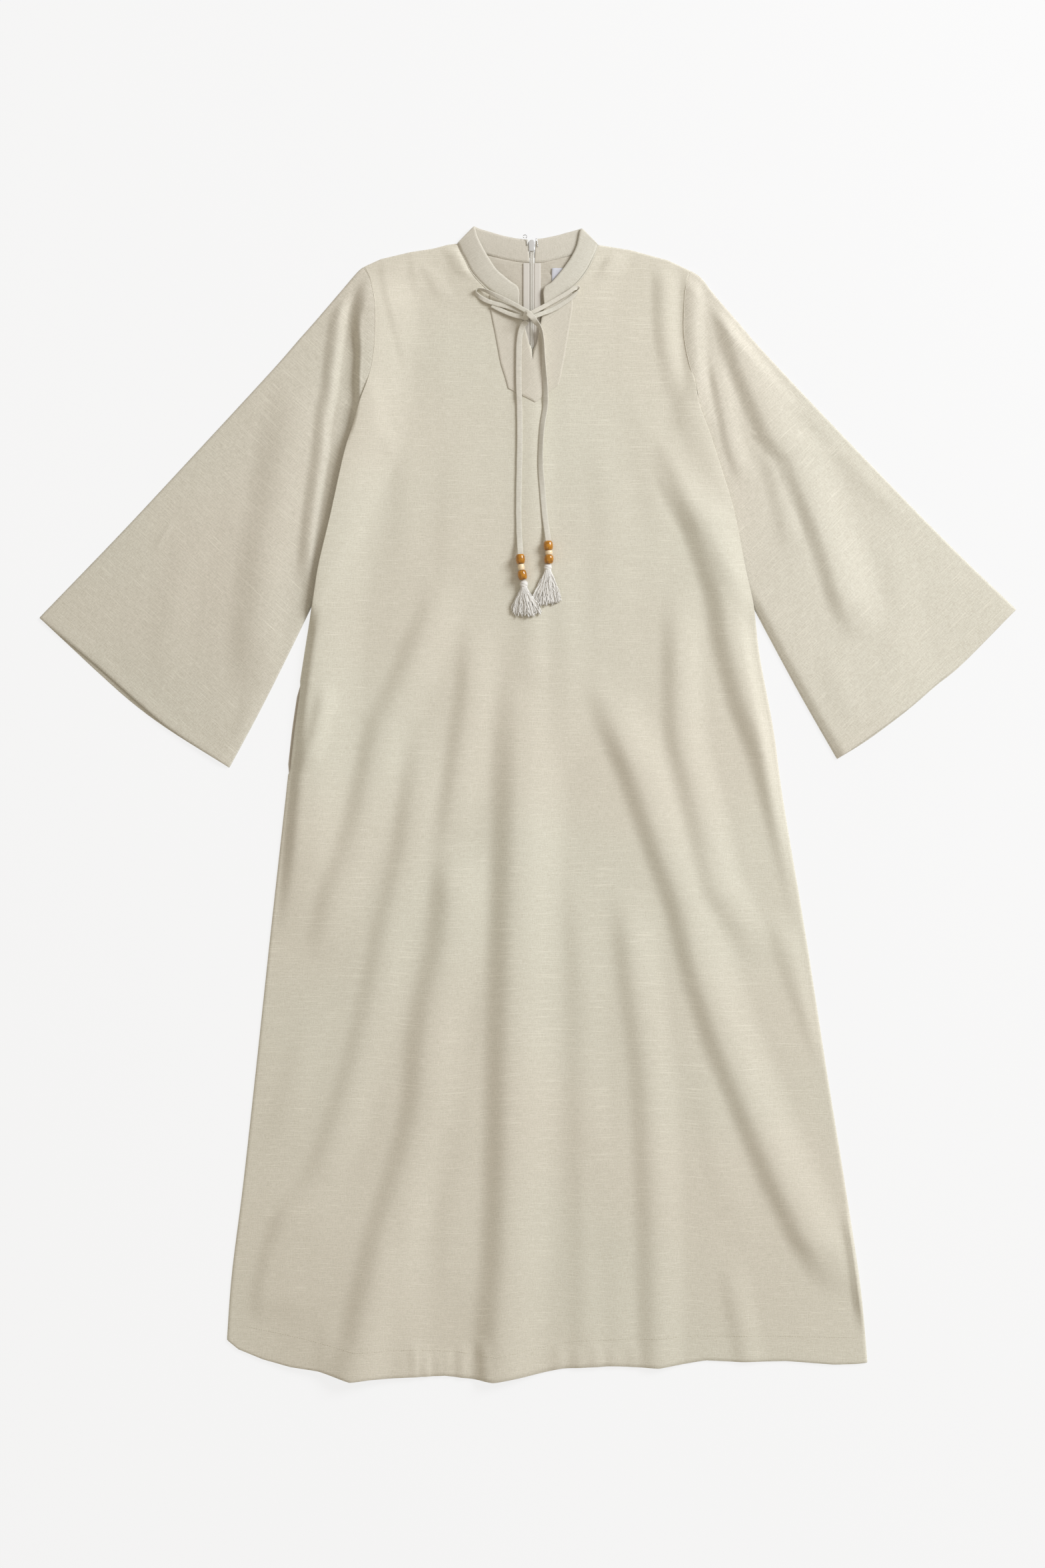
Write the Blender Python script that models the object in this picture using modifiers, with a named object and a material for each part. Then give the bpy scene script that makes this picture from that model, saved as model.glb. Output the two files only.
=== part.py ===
"""Loose linen robe with a stand collar, wide sleeves and beaded neck ties, laid flat on its back.

+Z is up, +Y runs from the hem to the collar and +X is the picture's right. Outlines are tables of picture
points, turned into metres by PIXEL. Heights are in metres above the surface that the robe lies on.
"""

import math

import bmesh
import bpy
from mathutils import Vector

# Driving dimensions, in metres
PIXEL = 0.00082          # one picture point: gives a robe 1.40 m long from shoulder to hem
MIDDLE_X = 792.0         # picture point at X = 0
MIDDLE_Y = 1206.5        # picture point at Y = 0
CLOTH = 0.0012           # body and sleeve cloth
BAND = 0.0016            # collar band, two layers
FACING = 0.0010          # bib and neck label
TAPE = 0.0010            # zip tape
SEAM = 0.0003            # gap between neighbouring pieces
BACK_LIFT = 0.0038       # the back neck stands this high over the pull tab
COLLAR_END_TOP = 0.0063  # inner face of the collar beside the zip
WIRE_RADIUS = 0.00038    # hook and eye
TIE_WIDE = 0.0062
TIE_THICK = 0.0016
TIE_CORE = 0.0015        # radius of the tie where it is drawn through the beads
BEAD_RADIUS = 0.0054
BEAD_HOLE = 0.0020
RING_RADIUS = 0.0040
COIL_WIDE = 0.0050
COIL_THICK = 0.0016
ZIP_X = 798.0            # picture point of the zip's middle
COIL_TOP = 366.0         # picture point down where the coil starts, inside the slider
TAPE_TOP = 399.0         # and where the tapes start, at the collar seam
ZIP_END = 986.0
TAPE_WIDE = 0.0078
BACK_MID = CLOTH / 2
FRONT_MID = 1.5 * CLOTH + SEAM
LIP_LOW = 0.0002         # the turned edge of the front ends this high
EDGE_INSET = 2.7         # the back's edge lies this many picture points inside the front's
ARMHOLE_GAP = 0.7        # the back keeps this many picture points from the armhole line
SLEEVE_GAP = 0.6         # and the sleeve this many on its own side

# Picture points, (across, down). Each row is one station from neck to hem: inner edge, then outer edge.
FRONT_LEFT = (
    (686.5, 366.0, 547.0, 400.5),
    (691.6, 380.0, 552.0, 410.0),
    (697.5, 391.0, 556.5, 421.0),
    (706.0, 408.0, 561.0, 440.0),
    (719.0, 424.0, 563.5, 462.0),
    (733.0, 437.0, 564.0, 485.0),
    (750.0, 450.0, 563.0, 512.0),
    (765.0, 456.5, 559.5, 545.0),
    (777.0, 461.5, 551.0, 575.0),
    (785.5, 485.0, 541.0, 602.0),
    (793.0, 514.0, 530.0, 640.0),
    (799.0, 538.0, 517.0, 682.0),
    (799.0, 640.0, 497.0, 772.0),
    (799.0, 760.0, 479.0, 848.0),
    (799.0, 880.0, 470.0, 904.0),
    (799.0, 980.0, 458.0, 975.0),
    (799.0, 1090.0, 440.5, 1093.0),
    (799.0, 1200.0, 428.5, 1202.0),
    (799.0, 1400.0, 406.5, 1400.0),
    (799.0, 1600.0, 385.0, 1600.0),
    (799.0, 1780.0, 365.5, 1775.0),
    (799.0, 1930.0, 348.5, 1910.0),
    (799.0, 2061.0, 341.0, 2009.0),
)
FRONT_RIGHT = (
    (897.5, 368.0, 1035.0, 406.5),
    (892.5, 383.0, 1031.0, 417.0),
    (888.0, 393.0, 1029.0, 428.0),
    (880.0, 408.0, 1027.5, 446.0),
    (867.0, 425.0, 1026.0, 466.0),
    (851.0, 438.5, 1025.5, 489.0),
    (836.0, 448.5, 1028.0, 518.0),
    (826.0, 455.5, 1033.5, 545.0),
    (817.5, 461.5, 1042.0, 573.0),
    (811.0, 487.0, 1049.0, 609.0),
    (806.0, 514.0, 1063.0, 646.0),
    (799.0, 538.0, 1073.5, 678.0),
    (799.0, 640.0, 1100.0, 764.0),
    (799.0, 760.0, 1118.0, 854.0),
    (799.0, 880.0, 1130.5, 911.0),
    (799.0, 980.0, 1139.5, 985.0),
    (799.0, 1090.0, 1160.0, 1095.0),
    (799.0, 1200.0, 1174.5, 1200.0),
    (799.0, 1400.0, 1208.0, 1400.0),
    (799.0, 1600.0, 1239.0, 1600.0),
    (799.0, 1780.0, 1268.0, 1780.0),
    (799.0, 1930.0, 1290.5, 1930.0),
    (799.0, 2061.0, 1301.0, 2043.0),
)
FRONT_TIP = 11           # station at the tip of the slit
BIB_TIP = 6
SIDE_START = 14          # station where the front edge leaves the sleeve and the side seam starts
CHEST_ROWS = 13          # rows of the front panel above the slit's tip
SKIRT_ROWS = 25          # and below it
FRONT_COLUMNS = 13       # columns in each half of the front panel

SHOULDER_LEFT = (
    (547.0, 400.5), (572.0, 388.0), (616.0, 378.0), (650.0, 372.5), (672.0, 366.5), (686.5, 366.0),
)
SHOULDER_RIGHT = (
    (897.5, 368.0), (909.0, 368.5), (947.0, 375.0), (972.0, 383.0), (1002.0, 391.0), (1035.0, 406.5),
)
HEM = (
    (341.0, 2009.0), (358.0, 2023.0), (395.0, 2038.0), (436.0, 2049.0), (479.0, 2055.0), (526.0, 2070.0),
    (552.0, 2067.0), (605.0, 2065.0), (668.0, 2062.5), (711.0, 2067.5), (741.0, 2071.5), (784.0, 2064.0),
    (841.0, 2052.0), (920.0, 2048.0), (989.0, 2051.0), (1058.0, 2039.5), (1110.0, 2042.0), (1179.0, 2040.5),
    (1251.0, 2046.0), (1286.0, 2045.0), (1301.0, 2043.0),
)

# Columns across each sleeve layer, as shares from its top edge to the underarm
FRONT_LAYER = (0.006, 0.09, 0.18, 0.27, 0.36, 0.45, 0.55, 0.64, 0.73, 0.82, 0.91, 0.994)
BACK_LAYER = (0.006, 0.2, 0.4, 0.6, 0.8, 0.994)

# Sleeve outlines. top: shoulder to cuff; under: armpit to cuff; cap: shoulder to armpit, on each layer.
SLEEVE_LEFT = {
    "top": (
        (545.2, 402.0), (536.0, 410.0), (511.0, 438.0), (474.0, 480.0), (440.0, 512.0), (250.0, 719.0),
        (60.0, 927.0),
    ),
    "under": ((578.0, 672.0), (524.0, 788.0), (470.0, 904.0), (400.0, 1046.0), (344.0, 1151.0)),
    "cuff": (
        (60.0, 927.0), (102.0, 966.0), (150.0, 1005.0), (203.0, 1049.0), (256.0, 1093.0), (344.0, 1151.0),
    ),
    "cuff_back": (
        (60.0, 927.0), (98.0, 970.0), (143.0, 1012.0), (200.0, 1055.0), (256.0, 1096.0), (344.0, 1151.0),
    ),
    "cap": (
        (545.2, 402.0), (554.5, 418.0), (562.0, 447.0), (564.0, 474.0), (563.0, 512.0), (559.0, 547.0),
        (551.5, 575.0), (546.0, 597.0), (548.0, 620.0), (560.0, 648.0), (578.0, 672.0),
    ),
    "cap_back": (
        (545.2, 402.0), (556.0, 430.0), (563.0, 474.0), (563.0, 520.0), (560.0, 560.0), (560.0, 600.0),
        (565.0, 640.0), (578.0, 672.0),
    ),
    "outward": -1.0,
}
SLEEVE_RIGHT = {
    "top": (
        (1036.8, 408.0), (1052.0, 418.0), (1071.0, 440.0), (1113.0, 486.0), (1159.0, 539.0),
        (1431.0, 820.0),
        (1524.0, 914.5),
    ),
    "under": ((1006.0, 672.0), (1068.0, 791.0), (1130.5, 911.0), (1196.0, 1033.0), (1256.0, 1138.0)),
    "cuff": (
        (1524.0, 914.5), (1446.0, 996.0), (1405.0, 1027.0), (1358.0, 1065.0), (1299.0, 1108.0),
        (1256.0, 1138.0),
    ),
    "cuff_back": (
        (1524.0, 914.5), (1447.0, 998.0), (1405.0, 1030.0), (1358.0, 1068.0), (1299.0, 1112.0),
        (1254.0, 1140.0),
    ),
    "cap": (
        (1036.8, 408.0), (1029.8, 427.0), (1027.0, 455.0), (1025.5, 489.0), (1028.0, 518.0),
        (1033.5, 545.0),
        (1041.5, 573.0), (1046.0, 595.0), (1044.0, 618.0), (1030.0, 645.0), (1006.0, 672.0),
    ),
    "cap_back": (
        (1036.8, 408.0), (1029.0, 430.0), (1025.5, 474.0), (1026.0, 520.0), (1029.0, 560.0),
        (1028.0, 600.0),
        (1022.0, 640.0), (1006.0, 672.0),
    ),
    "outward": 1.0,
}
# Rows of the back panel end at these shares of the armhole: first those from the collar's back seam, then
# those from the centre back at LIFT_ROWS, in picture points down.
NECK_TO_ARMHOLE = (0.012, 0.1, 0.2, 0.3, 0.4, 0.5, 0.6, 0.65)
LIFT_TO_ARMHOLE = (0.7, 0.75, 0.8, 0.84, 0.88, 0.92, 0.95, 0.98)
LIFT_ROWS = (410.0, 424.0, 440.0, 456.0, 472.0, 490.0, 520.0, 570.0)
ZIP_ROWS = (372.0, 380.0, 388.0, 397.0) + LIFT_ROWS + (660.0, 760.0, 870.0)
NECK_GAP = 0.8           # the back's neck edge lies this many picture points under the collar's
COLLAR_BACK = 10         # row of the collar tables where its back half starts
BACK_COLUMNS = (0.0, 0.07, 0.16, 0.3, 0.48, 0.68, 0.86, 1.0)
BACK_SIDE_ROWS = 10
TUCK_LEFT = (
    (549.0, 582.0), (537.0, 623.0), (517.0, 682.0), (497.0, 772.0), (470.0, 904.0), (578.0, 672.0),
    (562.0, 645.0),
)
TUCK_RIGHT = (
    (1043.0, 580.0), (1049.0, 609.0), (1073.5, 678.0), (1100.0, 764.0), (1130.5, 911.0), (1006.0, 672.0),
    (1028.0, 645.0),
)

# Folds. crest: picture points down the ridge; left, right: widths of its flanks; high: metres;
# start, end: fades.
BODY_FOLDS = (
    {"crest": ((778, 960), (776, 1120), (774, 1260), (768, 1360), (760, 1480), (757, 1660), (755, 1810),
    (749, 2075)),
     "left": 30, "right": 75, "high": 0.0068, "start": 480, "end": 0},
    {"crest": ((706, 940), (702, 1080), (690, 1200), (680, 1300), (672, 1400)),
     "left": 26, "right": 46, "high": 0.0026, "start": 150, "end": 120},
    {"crest": ((690, 1310), (682, 1380), (668, 1440), (652, 1510), (636, 1610), (612, 1710), (584, 1800),
    (558, 1900), (546, 2075)),
     "left": 28, "right": 62, "high": 0.0050, "start": 160, "end": 0},
    {"crest": ((650, 860), (618, 990), (580, 1080), (558, 1160), (542, 1240), (512, 1330), (488, 1430)),
     "left": 28, "right": 48, "high": 0.0034, "start": 150, "end": 130},
    {"crest": ((628, 1080), (620, 1210), (608, 1340), (584, 1460), (550, 1610), (528, 1690), (490, 1770),
    (436, 1860)),
     "left": 28, "right": 52, "high": 0.0034, "start": 200, "end": 180},
    {"crest": ((903, 1010), (948, 1130), (990, 1245), (1025, 1355), (1060, 1475), (1095, 1590),
    (1138, 1700), (1188, 1815), (1238, 1905), (1282, 2000)),
     "left": 28, "right": 72, "high": 0.0064, "start": 200, "end": 160},
    {"crest": ((1004, 640), (1035, 750), (1062, 815), (1088, 895), (1108, 985), (1126, 1065),
    (1144, 1145), (1166, 1230)),
     "left": 26, "right": 50, "high": 0.0050, "start": 160, "end": 160},
    {"crest": ((1030, 880), (1022, 1040), (1028, 1130), (1048, 1200), (1068, 1280), (1093, 1360),
    (1120, 1460)),
     "left": 24, "right": 52, "high": 0.0034, "start": 140, "end": 160},
    {"crest": ((936, 1240), (956, 1410), (960, 1520), (976, 1610), (974, 1680), (982, 1810), (986, 2075)),
     "left": 24, "right": 52, "high": 0.0036, "start": 420, "end": 0},
    {"crest": ((868, 1220), (885, 1380), (895, 1660), (890, 2075)),
     "left": 42, "right": 42, "high": 0.0018, "start": 200, "end": 0},
    {"crest": ((1078, 1860), (1112, 2075)),
    "left": 22, "right": 34, "high": 0.0022, "start": 120, "end": 0},
    {"crest": ((505, 1020), (478, 1150)), "left": 24, "right": 34, "high": 0.0022, "start": 50, "end": 60},
    {"crest": ((474, 1480), (440, 1780), (424, 2075)),
    "left": 72, "right": 60, "high": 0.0036, "start": 260, "end": 0},
    {"crest": ((1008, 395), (1003, 480), (1018, 570)),
    "left": 16, "right": 20, "high": 0.0024, "start": 50, "end": 90},
)
# The cloth stands in a ridge along each armhole, and the body's edge keeps it where it lies on the sleeve.
CAP_LEFT = {
    "crest": ((556, 405), (566, 440), (568, 490), (565, 545), (554, 595), (538, 650), (520, 710), (505, 770),
              (490, 850), (482, 910), (476, 1010)),
    "left": 24, "right": 62, "high": 0.0046, "start": 70, "end": 130,
}
CAP_RIGHT = {
    "crest": ((1028, 405), (1019, 440), (1016, 490), (1022, 545), (1036, 600), (1054, 655), (1076, 730),
              (1092, 800), (1106, 870), (1122, 960)),
    "left": 44, "right": 26, "high": 0.0036, "start": 70, "end": 110,
}
SLEEVE_FOLDS = (
    {"crest": ((531, 450), (506, 570), (485, 710), (469, 810), (457, 900)),
     "left": 18, "right": 24, "high": 0.0046, "start": 80, "end": 90},
    {"crest": ((470, 520), (438, 630), (408, 730), (388, 830), (378, 930), (382, 1050)),
     "left": 34, "right": 56, "high": 0.0062, "start": 130, "end": 110},
    {"crest": ((1073, 425), (1098, 492), (1128, 562), (1160, 632), (1190, 684), (1218, 752), (1243, 822),
    (1266, 882), (1298, 975)),
     "left": 28, "right": 50, "high": 0.0056, "start": 80, "end": 90},
    {"crest": ((1066, 520), (1082, 606), (1094, 668), (1116, 740)),
     "left": 16, "right": 26, "high": 0.0026, "start": 60, "end": 60},
    {"crest": ((1168, 700), (1192, 860)), "left": 20, "right": 26, "high": 0.0016, "start": 60, "end": 60},
)

# Collar stations from the front end round the side to the back end: neck edge, free edge, and their heights.
COLLAR_LEFT = (
    (777.5, 460.5, 779.0, 441.0, 0.0080, 0.0098),
    (766.0, 455.8, 776.0, 431.5, 0.0076, 0.0108),
    (751.0, 448.9, 766.0, 424.0, 0.0072, 0.0112),
    (733.8, 436.0, 755.0, 415.0, 0.0068, 0.0110),
    (720.0, 423.0, 744.0, 405.0, 0.0064, 0.0106),
    (707.2, 407.4, 732.0, 387.0, 0.0060, 0.0102),
    (698.7, 390.4, 723.0, 371.0, 0.0056, 0.0096),
    (692.8, 379.6, 716.0, 356.0, 0.0054, 0.0088),
    (688.2, 368.0, 712.5, 343.5, 0.0050, 0.0074),
    (686.8, 366.4, 711.5, 341.2, 0.0040, 0.0052),
    (689.8, 367.0, 713.5, 341.5, 0.0026, 0.0034),
    (702.0, 372.5, 720.0, 344.5, 0.0028, 0.0034),
    (718.0, 379.0, 730.0, 347.5, 0.0032, 0.0036),
    (736.0, 384.0, 743.0, 351.5, 0.0036, 0.0040),
    (754.0, 389.0, 758.5, 355.8, 0.0042, 0.0044),
    (775.0, 393.0, 777.5, 359.5, 0.0048, 0.0048),
    (794.2, 394.8, 792.0, 361.0, 0.0050, 0.0050),
)
COLLAR_RIGHT = (
    (816.9, 460.5, 815.2, 440.5, 0.0080, 0.0098),
    (826.0, 454.6, 817.5, 432.5, 0.0076, 0.0108),
    (835.2, 447.4, 827.5, 425.5, 0.0072, 0.0112),
    (850.2, 437.4, 837.0, 415.0, 0.0068, 0.0110),
    (866.0, 424.0, 844.0, 406.5, 0.0064, 0.0106),
    (878.8, 407.4, 850.5, 397.5, 0.0060, 0.0102),
    (886.8, 392.4, 858.0, 386.0, 0.0056, 0.0096),
    (891.3, 382.5, 865.5, 370.0, 0.0054, 0.0088),
    (895.8, 370.0, 870.5, 347.5, 0.0050, 0.0074),
    (897.0, 368.4, 873.0, 344.5, 0.0040, 0.0052),
    (894.2, 369.0, 871.0, 344.5, 0.0026, 0.0034),
    (883.0, 374.5, 861.0, 347.5, 0.0028, 0.0034),
    (868.0, 380.5, 848.0, 351.0, 0.0032, 0.0036),
    (850.0, 385.5, 838.0, 354.0, 0.0036, 0.0040),
    (833.0, 390.0, 827.0, 356.5, 0.0042, 0.0044),
    (816.0, 394.0, 815.0, 359.0, 0.0048, 0.0048),
    (802.4, 394.8, 804.2, 360.0, 0.0050, 0.0050),
)

# Bib stations from neck to point: inner edge, then outer edge.
BIB_LEFT = (
    (739.0, 442.8, 735.0, 444.0), (752.0, 451.8, 735.8, 461.0), (766.0, 457.6, 739.0, 480.0),
    (777.2, 463.0, 743.5, 502.0),
    (785.8, 486.0, 747.5, 524.0), (793.2, 514.0, 751.5, 545.0), (799.0, 540.0, 757.0, 563.0),
    (800.5, 570.0, 760.0, 573.0),
    (803.0, 604.0, 762.6, 583.0),
)
BIB_RIGHT = (
    (846.0, 443.2, 858.5, 441.0), (836.0, 450.0, 858.8, 459.0), (826.5, 457.0, 857.0, 476.0),
    (817.4, 463.0, 853.5, 497.0),
    (810.8, 488.0, 849.8, 519.0), (805.8, 514.0, 846.5, 539.0), (799.0, 540.0, 843.0, 556.0),
    (800.5, 570.0, 841.0, 567.0),
    (803.0, 604.0, 838.0, 577.5),
)

# Ties. Each row is one point: across, down, height over the cloth, roll in degrees from flat.
TIE_TAIL_LEFT = (
    (790.5, 484.5, 0.0036, 20), (785.0, 490.0, 0.0026, 15), (781.3, 499.0, 0.0016, 6),
    (779.2, 512.0, 0.0010, 0),
    (778.4, 535.0, 0.0009, 0), (778.3, 575.0, 0.0009, 0), (779.4, 610.0, 0.0009, 0),
    (779.9, 650.0, 0.0009, 0),
    (779.4, 690.0, 0.0009, 0), (778.6, 730.0, 0.0009, 0), (778.2, 765.0, 0.0009, 0),
    (778.8, 795.0, 0.0012, 0),
    (779.8, 815.0, 0.0028, 0), (780.5, 827.0, 0.0052, 0), (780.9, 839.5, 0.0060, 0),
    (782.1, 851.6, 0.0058, 0),
    (783.8, 863.4, 0.0056, 0), (785.4, 870.6, 0.0050, 0),
)
TIE_TAIL_RIGHT = (
    (801.5, 483.0, 0.0036, -20), (807.0, 489.0, 0.0034, -45), (811.5, 497.0, 0.0032, -62),
    (814.2, 508.0, 0.0031, -70),
    (815.4, 524.0, 0.0030, -66), (816.4, 550.0, 0.0028, -52), (818.6, 585.0, 0.0022, -30),
    (818.0, 612.0, 0.0020, -24),
    (814.2, 636.0, 0.0020, -26), (811.6, 665.0, 0.0021, -30), (811.2, 700.0, 0.0018, -20),
    (813.6, 731.0, 0.0012, -8),
    (816.2, 762.0, 0.0010, 0), (818.8, 785.0, 0.0016, 0), (820.8, 799.0, 0.0034, 0),
    (822.0, 808.0, 0.0054, 0),
    (822.6, 819.4, 0.0060, 0), (823.6, 829.8, 0.0058, 0), (823.5, 839.7, 0.0056, 0),
    (822.8, 845.8, 0.0050, 0),
)
TIE_LOOP_LEFT = (
    (786.0, 470.6, 0.0052, 0), (775.0, 464.2, 0.0046, 0), (760.0, 459.2, 0.0042, 0),
    (745.0, 456.4, 0.0040, 0),
    (733.0, 453.6, 0.0032, 0), (723.0, 448.6, 0.0025, 10), (715.6, 441.6, 0.0028, 60),
    (717.5, 435.8, 0.0044, 100),
    (726.0, 438.0, 0.0056, 130), (738.0, 444.0, 0.0068, 150), (752.0, 450.5, 0.0078, 165),
    (768.0, 456.0, 0.0086, 175),
    (785.0, 466.4, 0.0088, 180),
)
TIE_LEAD_LEFT = (
    (738.0, 459.6, 0.0012, 0), (749.0, 465.6, 0.0014, 0), (762.0, 471.6, 0.0020, 0),
    (774.5, 475.8, 0.0026, 0),
    (786.0, 478.4, 0.0032, 0),
)
TIE_LOOP_RIGHT = (
    (803.5, 472.4, 0.0060, 0), (815.0, 463.6, 0.0058, 0), (832.0, 453.4, 0.0054, 0),
    (849.0, 444.4, 0.0050, 0),
    (861.0, 437.4, 0.0046, 0), (866.4, 440.0, 0.0036, -50), (863.0, 447.6, 0.0024, -120),
    (852.0, 454.6, 0.0016, -165),
    (838.0, 462.8, 0.0016, -175), (826.0, 468.8, 0.0022, -180), (815.0, 473.4, 0.0030, -180),
    (804.5, 478.0, 0.0038, -180),
)
TIE_KNOT = (
    (787.8, 482.6, 0.0058, 0), (788.4, 477.6, 0.0078, 20), (791.0, 473.4, 0.0100, 10),
    (796.0, 477.4, 0.0114, 0),
    (800.6, 481.4, 0.0102, -10), (802.4, 484.6, 0.0084, -10),
)

# Bends of the hook: picture point, height over the collar's inside
HOOK_BENDS = (
    (806.5, 372.0, 0.0), (806.2, 366.0, 0.0), (805.6, 361.5, 0.0), (804.4, 359.6, 0.0006),
    (804.4, 361.4, 0.0014), (804.9, 364.0, 0.0014),
)

# Beads down each tail: name, picture point, radius across the cord, half length along it.
BEADS = (
    ("bead_left_upper", 781.0, 839.5, BEAD_RADIUS, 0.0058),
    ("bead_left_ring", 782.2, 851.6, RING_RADIUS, 0.0033),
    ("bead_left_lower", 784.0, 863.5, BEAD_RADIUS, 0.0055),
    ("bead_right_upper", 822.6, 819.4, BEAD_RADIUS, 0.0055),
    ("bead_right_ring", 823.6, 829.8, RING_RADIUS, 0.0025),
    ("bead_right_lower", 823.5, 839.6, BEAD_RADIUS, 0.0050),
)
TASSELS = (
    {"name": "tassel_left", "head": (786.2, 877.0),
    "half_wide": 5.8, "half_long": 5.2, "fan": (768.0, 811.0), "foot": 925.0},
    {"name": "tassel_right", "head": (822.0, 851.6),
    "half_wide": 5.8, "half_long": 5.0, "fan": (799.5, 841.0), "foot": 908.0},
)
STRANDS_ACROSS = 8
STRANDS_DEEP = 4

# Zip slider and pull tab, metres about the slider's middle
SLIDER_Y = 369.5         # picture point
SLIDER_MID = 0.0050      # height of the coil in the collar
TAB_HINGE_Y = 0.0004
TAB_HINGE_Z = 0.0015
TAB_LONG = 0.0150
TAB_WIDE = 0.0066
TAB_THICK = 0.0010


def clear_scene():
    for item in list(bpy.data.objects):
        bpy.data.objects.remove(item, do_unlink=True)


def new_collection(name):
    made = bpy.data.collections.new(name)
    bpy.context.scene.collection.children.link(made)
    return made


def finish_of(name, colour, roughness, metallic=0.0):
    material = bpy.data.materials.new(name)
    material.use_nodes = True
    shader = material.node_tree.nodes["Principled BSDF"]
    shader.inputs["Base Color"].default_value = (*colour, 1.0)
    shader.inputs["Roughness"].default_value = roughness
    shader.inputs["Metallic"].default_value = metallic
    return material


def smooth(value):
    value = min(1.0, max(0.0, value))
    return value * value * (3.0 - 2.0 * value)


def place(across, down, height):
    return Vector(((across - MIDDLE_X) * PIXEL, (MIDDLE_Y - down) * PIXEL, height))


def through(rows, position):
    """A smooth curve through the rows of a table, at a position counted in rows."""
    last = len(rows) - 1
    index = min(int(position), last - 1)
    t = position - index
    before, start = rows[max(index - 1, 0)], rows[index]
    end, after = rows[index + 1], rows[min(index + 2, last)]
    out = []
    for a, b, c, d in zip(before, start, end, after):
        out.append(b + 0.5 * t * (c - a + t * (2 * a - 5 * b + 4 * c - d + t * (3 * (b - c) + d - a))))
    return out


def half_row(table, position, tip):
    """Inner and outer ends of one row. Below the slit's tip the inner end keeps to the shared centre line."""
    row = through(table, position)
    if position > tip:
        index = min(int(position), len(table) - 2)
        t = position - index
        row[0] = table[index][0] + (table[index + 1][0] - table[index][0]) * t
        row[1] = table[index][1] + (table[index + 1][1] - table[index][1]) * t
    return row


def across_at(points, down):
    """Where a line of picture points that runs downwards stands across the picture, and its slope."""
    if down <= points[0][1]:
        first, second = points[0], points[1]
        return first[0], (second[0] - first[0]) / (second[1] - first[1])
    for index in range(len(points) - 1):
        (x0, y0), (x1, y1) = points[index], points[index + 1]
        if down <= y1:
            t = (down - y0) / (y1 - y0)
            return through(points, index + t)[0], (x1 - x0) / (y1 - y0)
    (x0, y0), (x1, y1) = points[-2], points[-1]
    return x1, (x1 - x0) / (y1 - y0)


def down_at(points, across):
    for (x0, y0), (x1, y1) in zip(points, points[1:]):
        if across <= x1:
            return y0 + (y1 - y0) * max(0.0, across - x0) / (x1 - x0)
    return points[-1][1]


def even(points, fraction):
    """The point at this fraction of the length of a line of picture points."""
    steps = [math.dist(a, b) for a, b in zip(points, points[1:])]
    goal = fraction * sum(steps)
    for index, step in enumerate(steps):
        if goal <= step or index == len(steps) - 1:
            return through(points, index + min(1.0, goal / step))
        goal -= step
    return points[-1]


def straight(points, fraction):
    """As even, but with straight lines between the points."""
    steps = [math.dist(a, b) for a, b in zip(points, points[1:])]
    goal = fraction * sum(steps)
    for start, end, step in zip(points, points[1:], steps):
        if goal <= step:
            return [a + (b - a) * goal / step for a, b in zip(start, end)]
        goal -= step
    return points[-1]


def fold_height(fold, across, down):
    crest = fold["crest"]
    first, last = crest[0][1], crest[-1][1]
    if down < first or down > last:
        return 0.0
    middle, slope = across_at(crest, down)
    side = (across - middle) / math.hypot(1.0, slope)
    wide = fold["left"] if side < 0 else fold["right"]
    if abs(side) >= wide:
        return 0.0
    start = smooth((down - first) / fold["start"]) if fold["start"] else 1.0
    end = smooth((last - down) / fold["end"]) if fold["end"] else 1.0
    return fold["high"] * start * end * 0.5 * (1.0 + math.cos(math.pi * side / wide))


def inside_distance(polygon, across, down):
    """Distance from a polygon of picture points, nothing inside it."""
    inside = False
    nearest = 1e9
    for index, (x0, y0) in enumerate(polygon):
        x1, y1 = polygon[(index + 1) % len(polygon)]
        if (y0 > down) != (y1 > down) and across < x0 + (x1 - x0) * (down - y0) / (y1 - y0):
            inside = not inside
        t = ((across - x0) * (x1 - x0) + (down - y0) * (y1 - y0)) / ((x1 - x0) ** 2 + (y1 - y0) ** 2)
        t = min(1.0, max(0.0, t))
        nearest = min(nearest, math.hypot(across - x0 - t * (x1 - x0), down - y0 - t * (y1 - y0)))
    return 0.0 if inside else nearest


def neck_lift(across, down):
    away = math.hypot((across - 799.0) * 0.8, down - 398.0)
    return BACK_LIFT * (1.0 - smooth((away - 24.0) / 96.0)) * smooth((down - 362.0) / 32.0)


def back_mid(across, down):
    return BACK_MID + neck_lift(across, down)


def zip_ridge(across, down):
    fade = smooth((down - 400.0) / 30.0) * smooth((1040.0 - down) / 45.0)
    return 0.0021 * fade * math.exp(-(((across - ZIP_X) / 22.0) ** 2))


def tuck(across, down):
    """The body lies over the sleeve here, so it starts one sleeve higher."""
    near = min(inside_distance(TUCK_LEFT, across, down), inside_distance(TUCK_RIGHT, across, down))
    return (CLOTH + SEAM) * (1.0 - smooth((near - 3.0) / 26.0))


def side_edge(down, table):
    for row, after in zip(table, table[1:]):
        if down <= after[3]:
            t = max(0.0, down - row[3]) / (after[3] - row[3])
            return row[2] + (after[2] - row[2]) * t
    return table[-1][2]


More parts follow.
